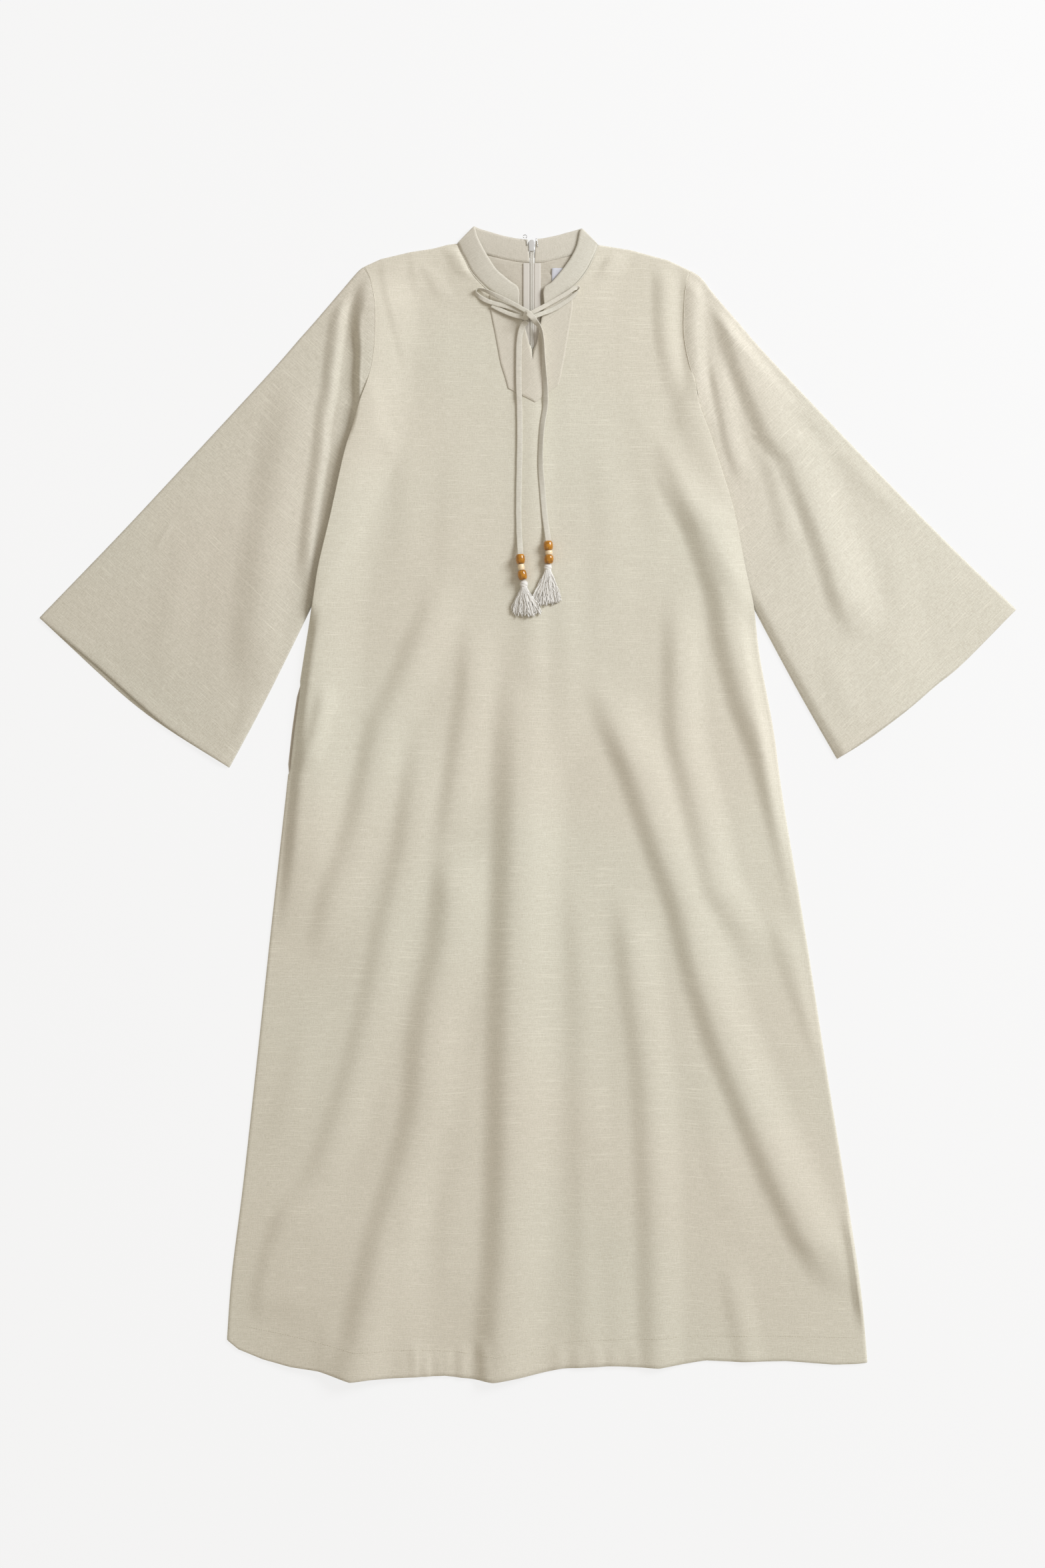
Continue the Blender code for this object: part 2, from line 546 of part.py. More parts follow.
def front_mid(across, down):
    """Height of the middle of the front panel's cloth."""
    relief = sum(fold_height(fold, across, down) for fold in BODY_FOLDS)
    relief += fold_height(CAP_LEFT, across, down) + fold_height(CAP_RIGHT, across, down)
    if down > 900.0:
        margin = min(across - side_edge(down, FRONT_LEFT), side_edge(down, FRONT_RIGHT) - across)
        held = smooth((down - 900.0) / 60.0)
        relief *= 1.0 - held * (1.0 - smooth(margin / 42.0))
    shoulder = smooth((down - 366.0) / 60.0)
    collar_rise = 0.0014 * (1.0 - smooth((math.hypot(across - 797.0, down - 420.0) - 60.0) / 90.0))
    neck = neck_lift(across, down) + shoulder * collar_rise
    return FRONT_MID + neck + zip_ridge(across, down) + tuck(across, down) + relief


def sleeve_mid(across, down):
    relief = sum(fold_height(fold, across, down) for fold in SLEEVE_FOLDS)
    keep = 1.0 - smooth((down - 545.0) / 45.0)
    relief += keep * (fold_height(CAP_LEFT, across, down) + fold_height(CAP_RIGHT, across, down))
    near = min(inside_distance(TUCK_LEFT, across, down), inside_distance(TUCK_RIGHT, across, down))
    if down > 575.0:
        relief *= smooth(near / 16.0)
    return FRONT_MID + relief


class Sheet:
    """An open grid of points that becomes one thin wall."""

    def __init__(self):
        self.mesh = bmesh.new()

    def grid(self, rows):
        verts = [[self.mesh.verts.new(point) for point in row] for row in rows]
        for upper, lower in zip(verts, verts[1:]):
            for index in range(len(upper) - 1):
                self.mesh.faces.new((upper[index], lower[index], lower[index + 1], upper[index + 1]))
        return verts

    def band(self, rings):
        verts = [[self.mesh.verts.new(point) for point in ring] for ring in rings]
        for upper, lower in zip(verts, verts[1:]):
            for index in range(len(upper)):
                after = (index + 1) % len(upper)
                self.mesh.faces.new((upper[index], lower[index], lower[after], upper[after]))
        return verts

    def finish(self, name, material, home, thickness, upward=True):
        bmesh.ops.remove_doubles(self.mesh, verts=self.mesh.verts, dist=0.00002)
        bmesh.ops.recalc_face_normals(self.mesh, faces=self.mesh.faces)
        if upward and sum(face.normal.z * face.calc_area() for face in self.mesh.faces) < 0:
            bmesh.ops.reverse_faces(self.mesh, faces=self.mesh.faces)
        made = add_mesh(name, self.mesh, material, home)
        wall = made.modifiers.new("wall", "SOLIDIFY")
        wall.thickness = thickness
        wall.offset = 0.0
        wall.use_even_offset = True
        return made


def add_mesh(name, mesh, material, home):
    data = bpy.data.meshes.new(name)
    mesh.to_mesh(data)
    mesh.free()
    data.shade_smooth()
    data.materials.append(material)
    made = bpy.data.objects.new(name, data)
    home.objects.link(made)
    return made


def row_positions(count, stations):
    return [stations * index / count for index in range(count + 1)]


def front_rows(stations):
    """Row positions: sparse over the chest, closer over the skirt's folds."""
    chest = [FRONT_TIP * index / CHEST_ROWS for index in range(CHEST_ROWS)]
    skirt = [FRONT_TIP + (stations - FRONT_TIP) * index / SKIRT_ROWS for index in range(SKIRT_ROWS + 1)]
    return chest + skirt


def front_half(table, shoulder, count_across):
    """Rows of points from the centre line to the outer edge, with a lip that turns down at the seams."""
    rows = []
    stations = len(table) - 1
    for position in front_rows(stations):
        inner_x, inner_y, outer_x, outer_y = half_row(table, position, FRONT_TIP)
        side = smooth((position - SIDE_START) / 1.0)
        hem = smooth((position - (stations - 3.0)) / 3.0)
        top = smooth(1.0 - position / 3.0)
        row = []
        insets = [0.0, 0.4, 2.0, 5.0]
        width = math.hypot(outer_x - inner_x, outer_y - inner_y)
        shares = [1.0 - inset / width for inset in insets]
        shares += [(1.0 - 5.5 / width) * (1.0 - index / count_across) for index in range(1, count_across + 1)]
        drops = [1.0, 0.55, 0.06, 0.0] + [0.0] * count_across
        for drop, share in zip(drops, shares):
            x = inner_x + (outer_x - inner_x) * share
            y = inner_y + (outer_y - inner_y) * share
            if top:
                ends = (table[0][0], table[0][1]), (table[0][2], table[0][3])
                flat = ends[0][1] + (ends[1][1] - ends[0][1]) * share
                shoulder_x = ends[0][0] + (ends[1][0] - ends[0][0]) * share
                y += top * (down_at(shoulder, shoulder_x) - flat)
            if hem:
                last = table[-1]
                flat = last[1] + (last[3] - last[1]) * share
                y += hem * (down_at(HEM, last[0] + (last[2] - last[0]) * share) - flat)
            height = front_mid(x, y)
            height += (LIP_LOW - height) * drop * side
            row.append(place(x, y, height))
        rows.append(row)
    return shoulder_lip(rows)


def shoulder_lip(rows):
    """Turns the shoulder row down over the back panel's edge, as two short rows above the first."""
    turned, middle, inner = [], [], []
    for point in rows[0]:
        turned.append(Vector((point.x, point.y, LIP_LOW)))
        middle.append(Vector((point.x, point.y - 0.0003, LIP_LOW + (point.z - LIP_LOW) * 0.5)))
        inner.append(point - Vector((0.0, 0.0015, 0.0)))
    return [turned, middle, inner] + rows[1:]


def front_panel(material, home):
    sheet = Sheet()
    for table, shoulder in ((FRONT_LEFT, SHOULDER_LEFT), (FRONT_RIGHT, SHOULDER_RIGHT)):
        sheet.grid(front_half(table, shoulder, FRONT_COLUMNS))
    return sheet.finish("front_panel", material, home, CLOTH)


def sleeve(name, table, material, home, rings=14):
    """A flattened tube: upper layer, rounded top edge, lower layer and rounded underarm edge."""
    sheet = Sheet()
    loops = []
    between = (BACK_MID + FRONT_MID) / 2
    for ring in range(rings + 1):
        r = ring / rings
        top, under = even(table["top"], r), even(table["under"], r)
        front, back = [], []
        for s in FRONT_LAYER:
            x, y = coons(table["cap"], table["cuff"], top, under, r, s)
            x += table["outward"] * SLEEVE_GAP * (1.0 - r)
            rise = smooth(min(s, 1.0 - s) / 0.10) * (sleeve_mid(x, y) - FRONT_MID)
            front.append(place(x, y, FRONT_MID + rise))
        for s in BACK_LAYER:
            x, y = coons(table["cap_back"], table["cuff_back"], top, under, r, s)
            x += table["outward"] * SLEEVE_GAP * (1.0 - r)
            back.append(place(x, y, BACK_MID))
        loops.append([place(*top, between)] + front + [place(*under, between)] + back[::-1])
    sheet.band(loops)
    return sheet.finish(name, material, home, CLOTH, upward=False)


def coons(cap, cuff, top, under, r, s):
    """A point of the patch between the cap, the cuff, the top edge and the underarm edge."""
    corners = cap[0], cap[-1], cuff[0], cuff[-1]
    start, end = even(cap, s), even(cuff, s)
    out = []
    for axis in (0, 1):
        between = (1 - r) * start[axis] + r * end[axis] + (1 - s) * top[axis] + s * under[axis]
        flat = (1 - r) * ((1 - s) * corners[0][axis] + s * corners[1][axis])
        flat += r * ((1 - s) * corners[2][axis] + s * corners[3][axis])
        out.append(between - flat)
    return out


def back_rows(table, sleeve_table, collar_table):
    """Ends of the back panel's rows: neck to armhole, then centre back to the underarm edge and the side."""
    sign = sleeve_table["outward"]
    centre = ZIP_X + sign * 0.5 * SEAM / PIXEL
    armhole = [even(sleeve_table["cap_back"], share) for share in BACK_LAYER]
    neck = [(row[0], row[1] + NECK_GAP) for row in collar_table[COLLAR_BACK:]]
    neck.append((centre, neck[-1][1] + 0.5))
    rows = []
    for (neck_x, neck_y), cap_share in zip(neck, NECK_TO_ARMHOLE):
        x, y = straight(armhole, cap_share)
        rows.append((neck_x, neck_y, x - sign * ARMHOLE_GAP, y + 0.5))
    for down, cap_share in zip(LIFT_ROWS, LIFT_TO_ARMHOLE):
        x, y = straight(armhole, cap_share)
        rows.append((centre, down, x - sign * ARMHOLE_GAP, y))
    for down, share in ((640.0, 0.004), (720.0, 0.16), (800.0, 0.33), (875.0, 0.48)):
        x, y = even(sleeve_table["under"], share)
        rows.append((centre, down, x - sign * EDGE_INSET, y + 1.0))
    for step in range(BACK_SIDE_ROWS + 1):
        position = SIDE_START + 0.2 + (len(table) - 1.2 - SIDE_START) * step / BACK_SIDE_ROWS
        _, _, outer_x, outer_y = through(table, position)
        rows.append((centre, outer_y, outer_x - sign * EDGE_INSET, outer_y))
    return rows


def back_panel(name, table, sleeve_table, collar_table, material, home):
    """The back lies flat under the front, just inside its turned edges."""
    sheet = Sheet()
    grid = []
    ends = back_rows(table, sleeve_table, collar_table)
    last = ends[-1]
    for index, (inner_x, inner_y, outer_x, outer_y) in enumerate(ends):
        hem = smooth((index - (len(ends) - 4.0)) / 3.0)
        row = []
        for share in BACK_COLUMNS:
            x = inner_x + (outer_x - inner_x) * share
            y = inner_y + (outer_y - inner_y) * share
            if hem:
                level = last[1] + (last[3] - last[1]) * share
                y += hem * (down_at(HEM, last[0] + (last[2] - last[0]) * share) - 2.0 - level)
            row.append(place(x, y, back_mid(x, y)))
        grid.append(row)
    sheet.grid(grid)
    return sheet.finish(name, material, home, CLOTH)


def collar(name, table, material, home, count=30, across=3):
    sheet = Sheet()
    rows = []
    for position in row_positions(count, len(table) - 1):
        neck_x, neck_y, free_x, free_y, neck_z, free_z = through(table, position)
        row = []
        for column in range(across + 1):
            share = column / across
            crown = 0.0006 * math.sin(math.pi * share)
            row.append(place(neck_x + (free_x - neck_x) * share, neck_y + (free_y - neck_y) * share,
                             neck_z + (free_z - neck_z) * share + crown))
        rows.append(row)
    sheet.grid(rows)
    return sheet.finish(name, material, home, BAND, upward=False)


def bib(material, home, count_down=12, count_across=4):
    sheet = Sheet()
    over = CLOTH / 2 + SEAM + FACING / 2
    for table in (BIB_LEFT, BIB_RIGHT):
        rows = []
        for position in row_positions(count_down, len(table) - 1):
            inner_x, inner_y, outer_x, outer_y = half_row(table, position, BIB_TIP)
            row = []
            for column in range(count_across + 1):
                share = column / count_across
                x = inner_x + (outer_x - inner_x) * share
                y = inner_y + (outer_y - inner_y) * share
                row.append(place(x, y, front_mid(x, y) + over))
            rows.append(row)
        sheet.grid(rows)
    return sheet.finish("front_bib", material, home, FACING)


def ribbon(name, table, material, home, steps, base, core_from=None):
    """A flat tube swept along its points. From core_from on it is drawn in to a round cord."""
    sides, squared = 8, 0.62
    mesh = bmesh.new()
    rings = []
    centres = []
    for position in row_positions(steps, len(table) - 1):
        x, y, high, roll = through(table, position)
        centres.append((place(x, y, base(x, y) + high), roll, position))
    for index, (centre, roll, position) in enumerate(centres):
        ahead = centres[min(index + 1, steps)][0] - centres[max(index - 1, 0)][0]
        ahead.normalize()
        flat = Vector((ahead.y, -ahead.x, 0.0)).normalized()
        up = flat.cross(ahead).normalized()
        turn = math.radians(roll)
        wide_axis = flat * math.cos(turn) + up * math.sin(turn)
        thick_axis = up * math.cos(turn) - flat * math.sin(turn)
        wide, thick = TIE_WIDE / 2, TIE_THICK / 2
        if core_from is not None:
            drawn = smooth((position - core_from) / 1.2)
            wide += (TIE_CORE - wide) * drawn
            thick += (TIE_CORE - thick) * drawn
        ring = []
        for side in range(sides):
            angle = 2 * math.pi * (side + 0.5) / sides
            c, s = math.cos(angle), math.sin(angle)
            c = math.copysign(abs(c) ** squared, c)
            s = math.copysign(abs(s) ** squared, s)
            ring.append(mesh.verts.new(centre + wide_axis * wide * c + thick_axis * thick * s))
        rings.append(ring)
    for first, second in zip(rings, rings[1:]):
        for side in range(sides):
            after = (side + 1) % sides
            mesh.faces.new((first[side], second[side], second[after], first[after]))
    mesh.faces.new(rings[0])
    mesh.faces.new(rings[-1][::-1])
    bmesh.ops.recalc_face_normals(mesh, faces=mesh.faces)
    return add_mesh(name, mesh, material, home)


def cord_frame(table, across, down):
    """Centre and direction of a tail beside a picture point."""
    best = min(
        (step / 20 for step in range(20 * (len(table) - 1) + 1)),
        key=lambda t: math.dist(through(table, t)[:2], (across, down)),
    )
    x, y, high, _ = through(table, best)
    after = through(table, min(best + 0.2, len(table) - 1))
    before = through(table, max(best - 0.2, 0))
    centre = place(x, y, over_front(x, y) + high)
    ahead = place(after[0], after[1], over_front(after[0], after[1]) + after[2])
    ahead -= place(before[0], before[1], over_front(before[0], before[1]) + before[2])
    return centre, ahead.normalized()


def over_front(across, down):
    return front_mid(across, down) + CLOTH / 2 + SEAM


def over_bib(across, down):
    outline = [row[2:4] for row in BIB_LEFT] + [BIB_LEFT[-1][:2]] + [row[2:4] for row in BIB_RIGHT[::-1]]
    near = inside_distance(outline, across, down)
    return over_front(across, down) + (SEAM + FACING) * (1.0 - smooth((near - 2.0) / 14.0))


def bead(name, table, across, down, radius, half, material, home):
    """A turned bead with a hole, its axis along the cord."""
    centre, ahead = cord_frame(table, across, down)
    lip = BEAD_HOLE + 0.0006
    profile = [(BEAD_HOLE, half * 0.80)]
    for degrees in range(60, -61, -20):
        angle = math.radians(degrees)
        out = lip + (radius - lip) * math.cos(angle) ** 0.8
        profile.append((out, half * math.sin(angle) / math.sin(math.radians(60))))
    profile.append((BEAD_HOLE, -half * 0.80))
    mesh = bmesh.new()
    verts = [mesh.verts.new((r, 0.0, z)) for r, z in profile]
    for index in range(len(verts)):
        mesh.edges.new((verts[index], verts[(index + 1) % len(verts)]))
    made = add_mesh(name, mesh, material, home)
    made.location = centre
    made.rotation_euler = ahead.to_track_quat("Z", "Y").to_euler()
    spin = made.modifiers.new("turn", "SCREW")
    spin.steps = 14
    spin.render_steps = 14
    spin.use_merge_vertices = True
    spin.merge_threshold = 0.00005
    return made


def tassel(row, table, material, home):
    """A bound head whose lower face is drawn out into strands, all one body."""
    head_x, head_y = row["head"]
    centre, _ = cord_frame(table, head_x, head_y)
    floor = over_bib(head_x, head_y)
    mesh = bmesh.new()
    deep = 0.0068
    low = floor + 0.0002
    neck_y = head_y - row["half_long"]
    foot_y = head_y + row["half_long"]
    base = []
    for j in range(STRANDS_DEEP + 1):
        line = []
        for i in range(STRANDS_ACROSS + 1):
            u, w = 2 * i / STRANDS_ACROSS - 1, 2 * j / STRANDS_DEEP - 1
            c = u * math.sqrt(1 - w * w / 2)
            s = w * math.sqrt(1 - u * u / 2)
            point = place(head_x + c * row["half_wide"], foot_y, low + deep / 2 * (1 + s))
            line.append(mesh.verts.new(point))
        base.append(line)
    faces = []
    for j in range(STRANDS_DEEP):
        for i in range(STRANDS_ACROSS):
            faces.append(mesh.faces.new((base[j][i], base[j][i + 1], base[j + 1][i + 1], base[j + 1][i])))
    body = bmesh.ops.extrude_face_region(mesh, geom=faces, use_keep_orig=True)
    shell = [item for item in body["geom"] if isinstance(item, bmesh.types.BMVert)]
    middle = place(head_x, foot_y, low + deep / 2)
    lift = (foot_y - neck_y) * PIXEL
    for vert in shell:
        away = vert.co - middle
        vert.co = middle + away * 0.92 + Vector((0.0, lift * 0.55, 0.0))
    cap_faces = [item for item in body["geom"] if isinstance(item, bmesh.types.BMFace)]
    crown = bmesh.ops.extrude_face_region(mesh, geom=cap_faces)
    bmesh.ops.delete(mesh, geom=cap_faces, context="FACES_ONLY")
    for vert in (item for item in crown["geom"] if isinstance(item, bmesh.types.BMVert)):
        away = vert.co - middle - Vector((0.0, lift * 0.55, 0.0))
        vert.co = middle + away * 0.55 + Vector((0.0, lift, 0.0))
    bmesh.ops.recalc_face_normals(mesh, faces=mesh.faces)
    fan_left, fan_right = row["fan"]
    for index, face in enumerate(faces):
        i, j = index % STRANDS_ACROSS, index // STRANDS_ACROSS
        spread = (i + 0.5 + 0.23 * math.sin(2.4 * index)) / STRANDS_ACROSS
        goal_x = fan_left + (fan_right - fan_left) * spread
        bow = 1.0 - (2 * spread - 1) ** 2
        goal_y = row["foot"] - 9.0 + 9.0 * bow + 3.0 * math.sin(5.1 * index)
        level = low + 0.0006 + (deep - 0.0014) * (j + 0.5) / STRANDS_DEEP * 0.72
        start = face.calc_center_median()
        goal = place(goal_x, goal_y, level + front_mid(goal_x, goal_y) - front_mid(head_x, head_y))
        bmesh.ops.inset_individual(mesh, faces=[face], thickness=0.00012)
        for share, grow in ((0.45, 1.02), (1.0, 0.86)):
            drawn = bmesh.ops.extrude_discrete_faces(mesh, faces=[face])
            face = drawn["faces"][0]
            target = start.lerp(goal, share) + Vector((0.0, 0.0, 0.0008 * math.sin(math.pi * share)))
            here = face.calc_center_median()
            for vert in face.verts:
                vert.co = target + (vert.co - here) * grow
    bmesh.ops.recalc_face_normals(mesh, faces=mesh.faces)
    return add_mesh(row["name"], mesh, material, home)


def coil_height(_, down):
    """The coil leaves the collar and climbs on to the tape's level, then follows the back panel."""
    over_tape = back_mid(ZIP_X, down) + CLOTH / 2 + SEAM + COIL_THICK / 2
    return SLIDER_MID + (over_tape - SLIDER_MID) * smooth((down - 380.0) / 14.0)


def zip_strip(name, left, right, top, height, thick, material, home):
    sheet = Sheet()
    rows = []
    for y in (top, *(level for level in ZIP_ROWS if level > top), ZIP_END):
        rows.append([place(x, y, height(x, y)) for x in (left, (left + right) / 2, right)])
    sheet.grid(rows)
    return sheet.finish(name, material, home, thick)


def zipper(cloth, coil, home):
    half = COIL_WIDE / 2 / PIXEL
    gap = SEAM / PIXEL
    wide = TAPE_WIDE / PIXEL

    def tape_height(across, down):
        return back_mid(across, down) + CLOTH / 2 + SEAM + TAPE / 2

    zip_strip("zip_coil", ZIP_X - half, ZIP_X + half, COIL_TOP, coil_height, COIL_THICK, coil, home)
    left, right = ZIP_X - half - gap, ZIP_X + half + gap
    zip_strip("zip_tape_left", left - wide, left, TAPE_TOP, tape_height, TAPE, cloth, home)
    zip_strip("zip_tape_right", right, right + wide, TAPE_TOP, tape_height, TAPE, cloth, home)


def block(name, low, high, home):
    bpy.ops.mesh.primitive_cube_add(size=1.0)
    made = bpy.context.active_object
    made.name = name
    for vert in made.data.vertices:
        for axis in range(3):
            vert.co[axis] = low[axis] if vert.co[axis] < 0 else high[axis]
    for used in list(made.users_collection):
        used.objects.unlink(made)
    home.objects.link(made)
    return made


def plate(name, outline, low, high, material, home):
    mesh = bmesh.new()
    face = mesh.faces.new([mesh.verts.new((x, y, low)) for x, y in outline])
    drawn = bmesh.ops.extrude_face_region(mesh, geom=[face])
    for vert in (item for item in drawn["geom"] if isinstance(item, bmesh.types.BMVert)):
        vert.co.z = high
    bmesh.ops.recalc_face_normals(mesh, faces=mesh.faces)
    return add_mesh(name, mesh, material, home)


def shield(half_wide, top, foot_half, foot):
    """Outline of a slider plate: broad shoulders, narrower foot."""
    right = [
        (foot_half, foot), (half_wide * 0.86, foot * 0.45), (half_wide, top * 0.20),
        (half_wide * 0.84, top * 0.62), (half_wide * 0.42, top),
    ]
    return right + [(-x, y) for x, y in right[::-1]]


def slider(material, home, helpers):
    """Inner plate, post between the coil's ends, outer plate and the arch that carries the tab."""
    where = place(ZIP_X, SLIDER_Y, 0.0)
    top, foot = 0.0066, -0.0068
    wall = 0.0010
    bite = wall / 2
    inner = SLIDER_MID + COIL_THICK / 2 + SEAM
    outer = SLIDER_MID - COIL_THICK / 2 - SEAM
    half, floor = 0.0008, 0.0002
    body = plate("zip_slider", shield(0.0043, top, 0.0032, foot), inner, inner + wall, material, home)
    under = outer - bite
    extras = [
        plate("slider_outer", shield(0.0041, top, 0.0030, foot), outer - wall, outer, material, helpers),
        block("slider_post", (-0.0011, top - 0.0026, under), (0.0011, top - 0.0004, inner + bite), helpers),
        block("slider_arch_upper", (-half, 0.0026, floor), (half, 0.0038, under), helpers),
        block("slider_arch_lower", (-half, -0.0030, floor), (half, -0.0018, under), helpers),
        block("slider_arch_bar", (-half, -0.0030, floor), (half, 0.0038, floor + bite), helpers),
    ]
    for extra in extras:
        extra.hide_render = True
        extra.display_type = "WIRE"
        extra.location = where
        join = body.modifiers.new(extra.name, "BOOLEAN")
        join.operation = "UNION"
        join.object = extra
    body.location = where
    return body


def pull_tab(material, home, helpers):
    """A plate with an eye, its bar lying inside the slider's arch. Its origin is on the hinge."""
    pivot = place(ZIP_X, SLIDER_Y, 0.0) + Vector((0.0, TAB_HINGE_Y, TAB_HINGE_Z))
    half, thick = TAB_WIDE / 2, TAB_THICK / 2
    right = [
        (half * 0.62, 0.0005), (half * 0.72, -0.0050), (half, -0.0085), (half, -TAB_LONG + 0.0012),
        (half * 0.7, -TAB_LONG),
    ]
    outline = right + [(-x, y) for x, y in right[::-1]]
    tab = plate("zip_pull_tab", outline, -thick, thick, material, home)
    eye = block("tab_eye", (-0.0012, -0.0046, -0.0010), (0.0012, -0.0005, 0.0010), helpers)
    eye.hide_render = True
    eye.display_type = "WIRE"
    eye.parent = tab
    cut = tab.modifiers.new("eye", "BOOLEAN")
    cut.operation = "DIFFERENCE"
    cut.object = eye
    tab.location = pivot
    return tab


def wire(name, points, radius, material, home):
    curve = bpy.data.curves.new(name, "CURVE")
    curve.dimensions = "3D"
    curve.bevel_depth = radius
    curve.bevel_resolution = 2
    curve.use_fill_caps = True
    spline = curve.splines.new("POLY")
    spline.points.add(len(points) - 1)
    for slot, point in zip(spline.points, points):
        slot.co = (*point, 1.0)
    curve.materials.append(material)
    made = bpy.data.objects.new(name, curve)
    home.objects.link(made)
    return made


def hook_and_eye(material, home):
    """An eye loop past the left end of the collar and the hook on the right end, lying on the inside."""
    level = COLLAR_END_TOP + SEAM + WIRE_RADIUS
    centre_x, centre_y, loop_radius = 787.8, 356.6, 2.6
    loop = [place(791.0, 370.0, level), place(790.6, 363.0, level)]
    for step in range(9):
        angle = math.radians(-60 + 300 * step / 8)
        x, y = centre_x + loop_radius * math.cos(angle), centre_y - loop_radius * math.sin(angle)
        loop.append(place(x, y, level + 0.0001 * step))
    wire("eye_wire", loop, WIRE_RADIUS, material, home)
    hook = [place(x, y, level + rise) for x, y, rise in HOOK_BENDS]
    wire("hook_wire", hook, WIRE_RADIUS, material, home)


def neck_label(material, home):
    sheet = Sheet()
    rows = []
    for j in range(4):
        row = []
        for i in range(4):
            x, y = 828.0 + 36.0 * i / 3, 404.0 - 1.0 * i / 3 + 30.0 * j / 3
            row.append(place(x, y, back_mid(x, y) + CLOTH / 2 + SEAM + FACING / 2))
        rows.append(row)
    sheet.grid(rows)
    return sheet.finish("neck_label", material, home, FACING)


def main():
    clear_scene()
    home = new_collection("abaya")
    helpers = new_collection("cutters")
    linen = finish_of("linen", (0.60, 0.55, 0.46), 0.85)
    white = finish_of("white_cloth", (0.85, 0.85, 0.86), 0.8)
    tape = finish_of("zip_tape", (0.66, 0.63, 0.57), 0.75)
    nylon = finish_of("nylon_coil", (0.62, 0.60, 0.55), 0.4)
    enamel = finish_of("enamelled_metal", (0.68, 0.68, 0.66), 0.35, 0.3)
    steel = finish_of("wire_steel", (0.5, 0.5, 0.5), 0.3, 1.0)
    brown = finish_of("brown_bead", (0.50, 0.17, 0.03), 0.25)
    cream = finish_of("cream_bead", (0.87, 0.62, 0.30), 0.5)
    yarn = finish_of("yarn", (0.68, 0.62, 0.52), 0.9)
    front_panel(linen, home)
    back_panel("back_left", FRONT_LEFT, SLEEVE_LEFT, COLLAR_LEFT, linen, home)
    back_panel("back_right", FRONT_RIGHT, SLEEVE_RIGHT, COLLAR_RIGHT, linen, home)
    sleeve("sleeve_left", SLEEVE_LEFT, linen, home)
    sleeve("sleeve_right", SLEEVE_RIGHT, linen, home)
    collar("collar_left", COLLAR_LEFT, linen, home)
    collar("collar_right", COLLAR_RIGHT, linen, home)
    bib(linen, home)
    neck_label(white, home)
    ribbon("tie_tail_left", TIE_TAIL_LEFT, linen, home, 34, over_bib, core_from=12.0)
    ribbon("tie_tail_right", TIE_TAIL_RIGHT, linen, home, 38, over_bib, core_from=13.4)
    ribbon("tie_loop_left", TIE_LOOP_LEFT, linen, home, 24, over_bib)
    ribbon("tie_loop_right", TIE_LOOP_RIGHT, linen, home, 22, over_bib)
    ribbon("tie_lead_left", TIE_LEAD_LEFT, linen, home, 8, over_bib)
    ribbon("tie_knot", TIE_KNOT, linen, home, 10, over_bib)
    for name, across, down, radius, half in BEADS:
        table = TIE_TAIL_LEFT if "left" in name else TIE_TAIL_RIGHT
        bead(name, table, across, down, radius, half, cream if "ring" in name else brown, home)
    for row in TASSELS:
        tassel(row, TIE_TAIL_LEFT if "left" in row["name"] else TIE_TAIL_RIGHT, yarn, home)
    zipper(tape, nylon, home)
    slider(enamel, home, helpers)
    pull_tab(enamel, home, helpers)
    hook_and_eye(steel, home)


main()
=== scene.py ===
"""Looks of a loose linen robe with a stand collar, wide sleeves and beaded neck ties, laid flat on its back.

Outlines are tables of picture points, across and then down in the photograph, turned into metres by PIXEL. +Z
is up, +Y runs from the hem to the collar and +X is the picture's right. Heights are in metres above the floor.
"""

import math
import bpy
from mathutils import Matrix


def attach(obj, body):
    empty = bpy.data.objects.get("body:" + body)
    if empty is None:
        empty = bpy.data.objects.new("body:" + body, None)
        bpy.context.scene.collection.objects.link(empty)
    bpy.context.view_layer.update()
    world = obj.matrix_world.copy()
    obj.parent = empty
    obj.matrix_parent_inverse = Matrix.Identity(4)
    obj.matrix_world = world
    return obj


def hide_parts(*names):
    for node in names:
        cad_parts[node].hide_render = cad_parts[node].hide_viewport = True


bl_info = {
    "name": "Linen robe laid flat",
    "version": (1, 0, 0),
    "blender": (4, 5, 0),
    "location": "3D View > Sidebar > Robe",
    "description": "Cloth panels, ties, beads, tassels, zip and stitching of a linen robe round its solids",
    "category": "Add Mesh",
}

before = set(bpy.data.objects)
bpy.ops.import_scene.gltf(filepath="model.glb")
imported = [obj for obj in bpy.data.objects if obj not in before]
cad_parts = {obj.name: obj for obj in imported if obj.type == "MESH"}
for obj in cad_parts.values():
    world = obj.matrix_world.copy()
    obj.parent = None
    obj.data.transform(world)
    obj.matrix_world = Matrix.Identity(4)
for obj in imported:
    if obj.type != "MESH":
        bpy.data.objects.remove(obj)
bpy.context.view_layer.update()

import bpy
from mathutils import Vector, noise

# Driving dimensions, in metres
PIXEL = 0.00082          # one picture point: gives a robe 1.40 m long from shoulder to hem
MIDDLE_X = 792           # picture point at X = 0
MIDDLE_Y = 1206.5        # picture point at Y = 0
PICTURE_WIDE = 1568
PICTURE_HIGH = 2352
CLOTH = 0.0012           # body and sleeve cloth
BAND = 0.0016            # collar band, two layers
FACING = 0.0010          # bib and neck label, room that each has
BIB_THICK = 0.0006
TAPE = 0.0010            # zip tape
SEAM = 0.0003            # gap between neighbouring pieces
BACK_LIFT = 0.0038       # the back neck stands this high over the pull tab
COLLAR_END_TOP = 0.0063  # inner face of the collar beside the zip
WIRE_RADIUS = 0.00038    # hook and eye
TIE_WIDE = 0.0070        # where a tie lies flat
LOOP_WIDE = 0.0054       # and where it is folded in the bow
TIE_THICK = 0.0013
TIE_CORE = 0.0015        # radius of the tie where it is drawn through the beads
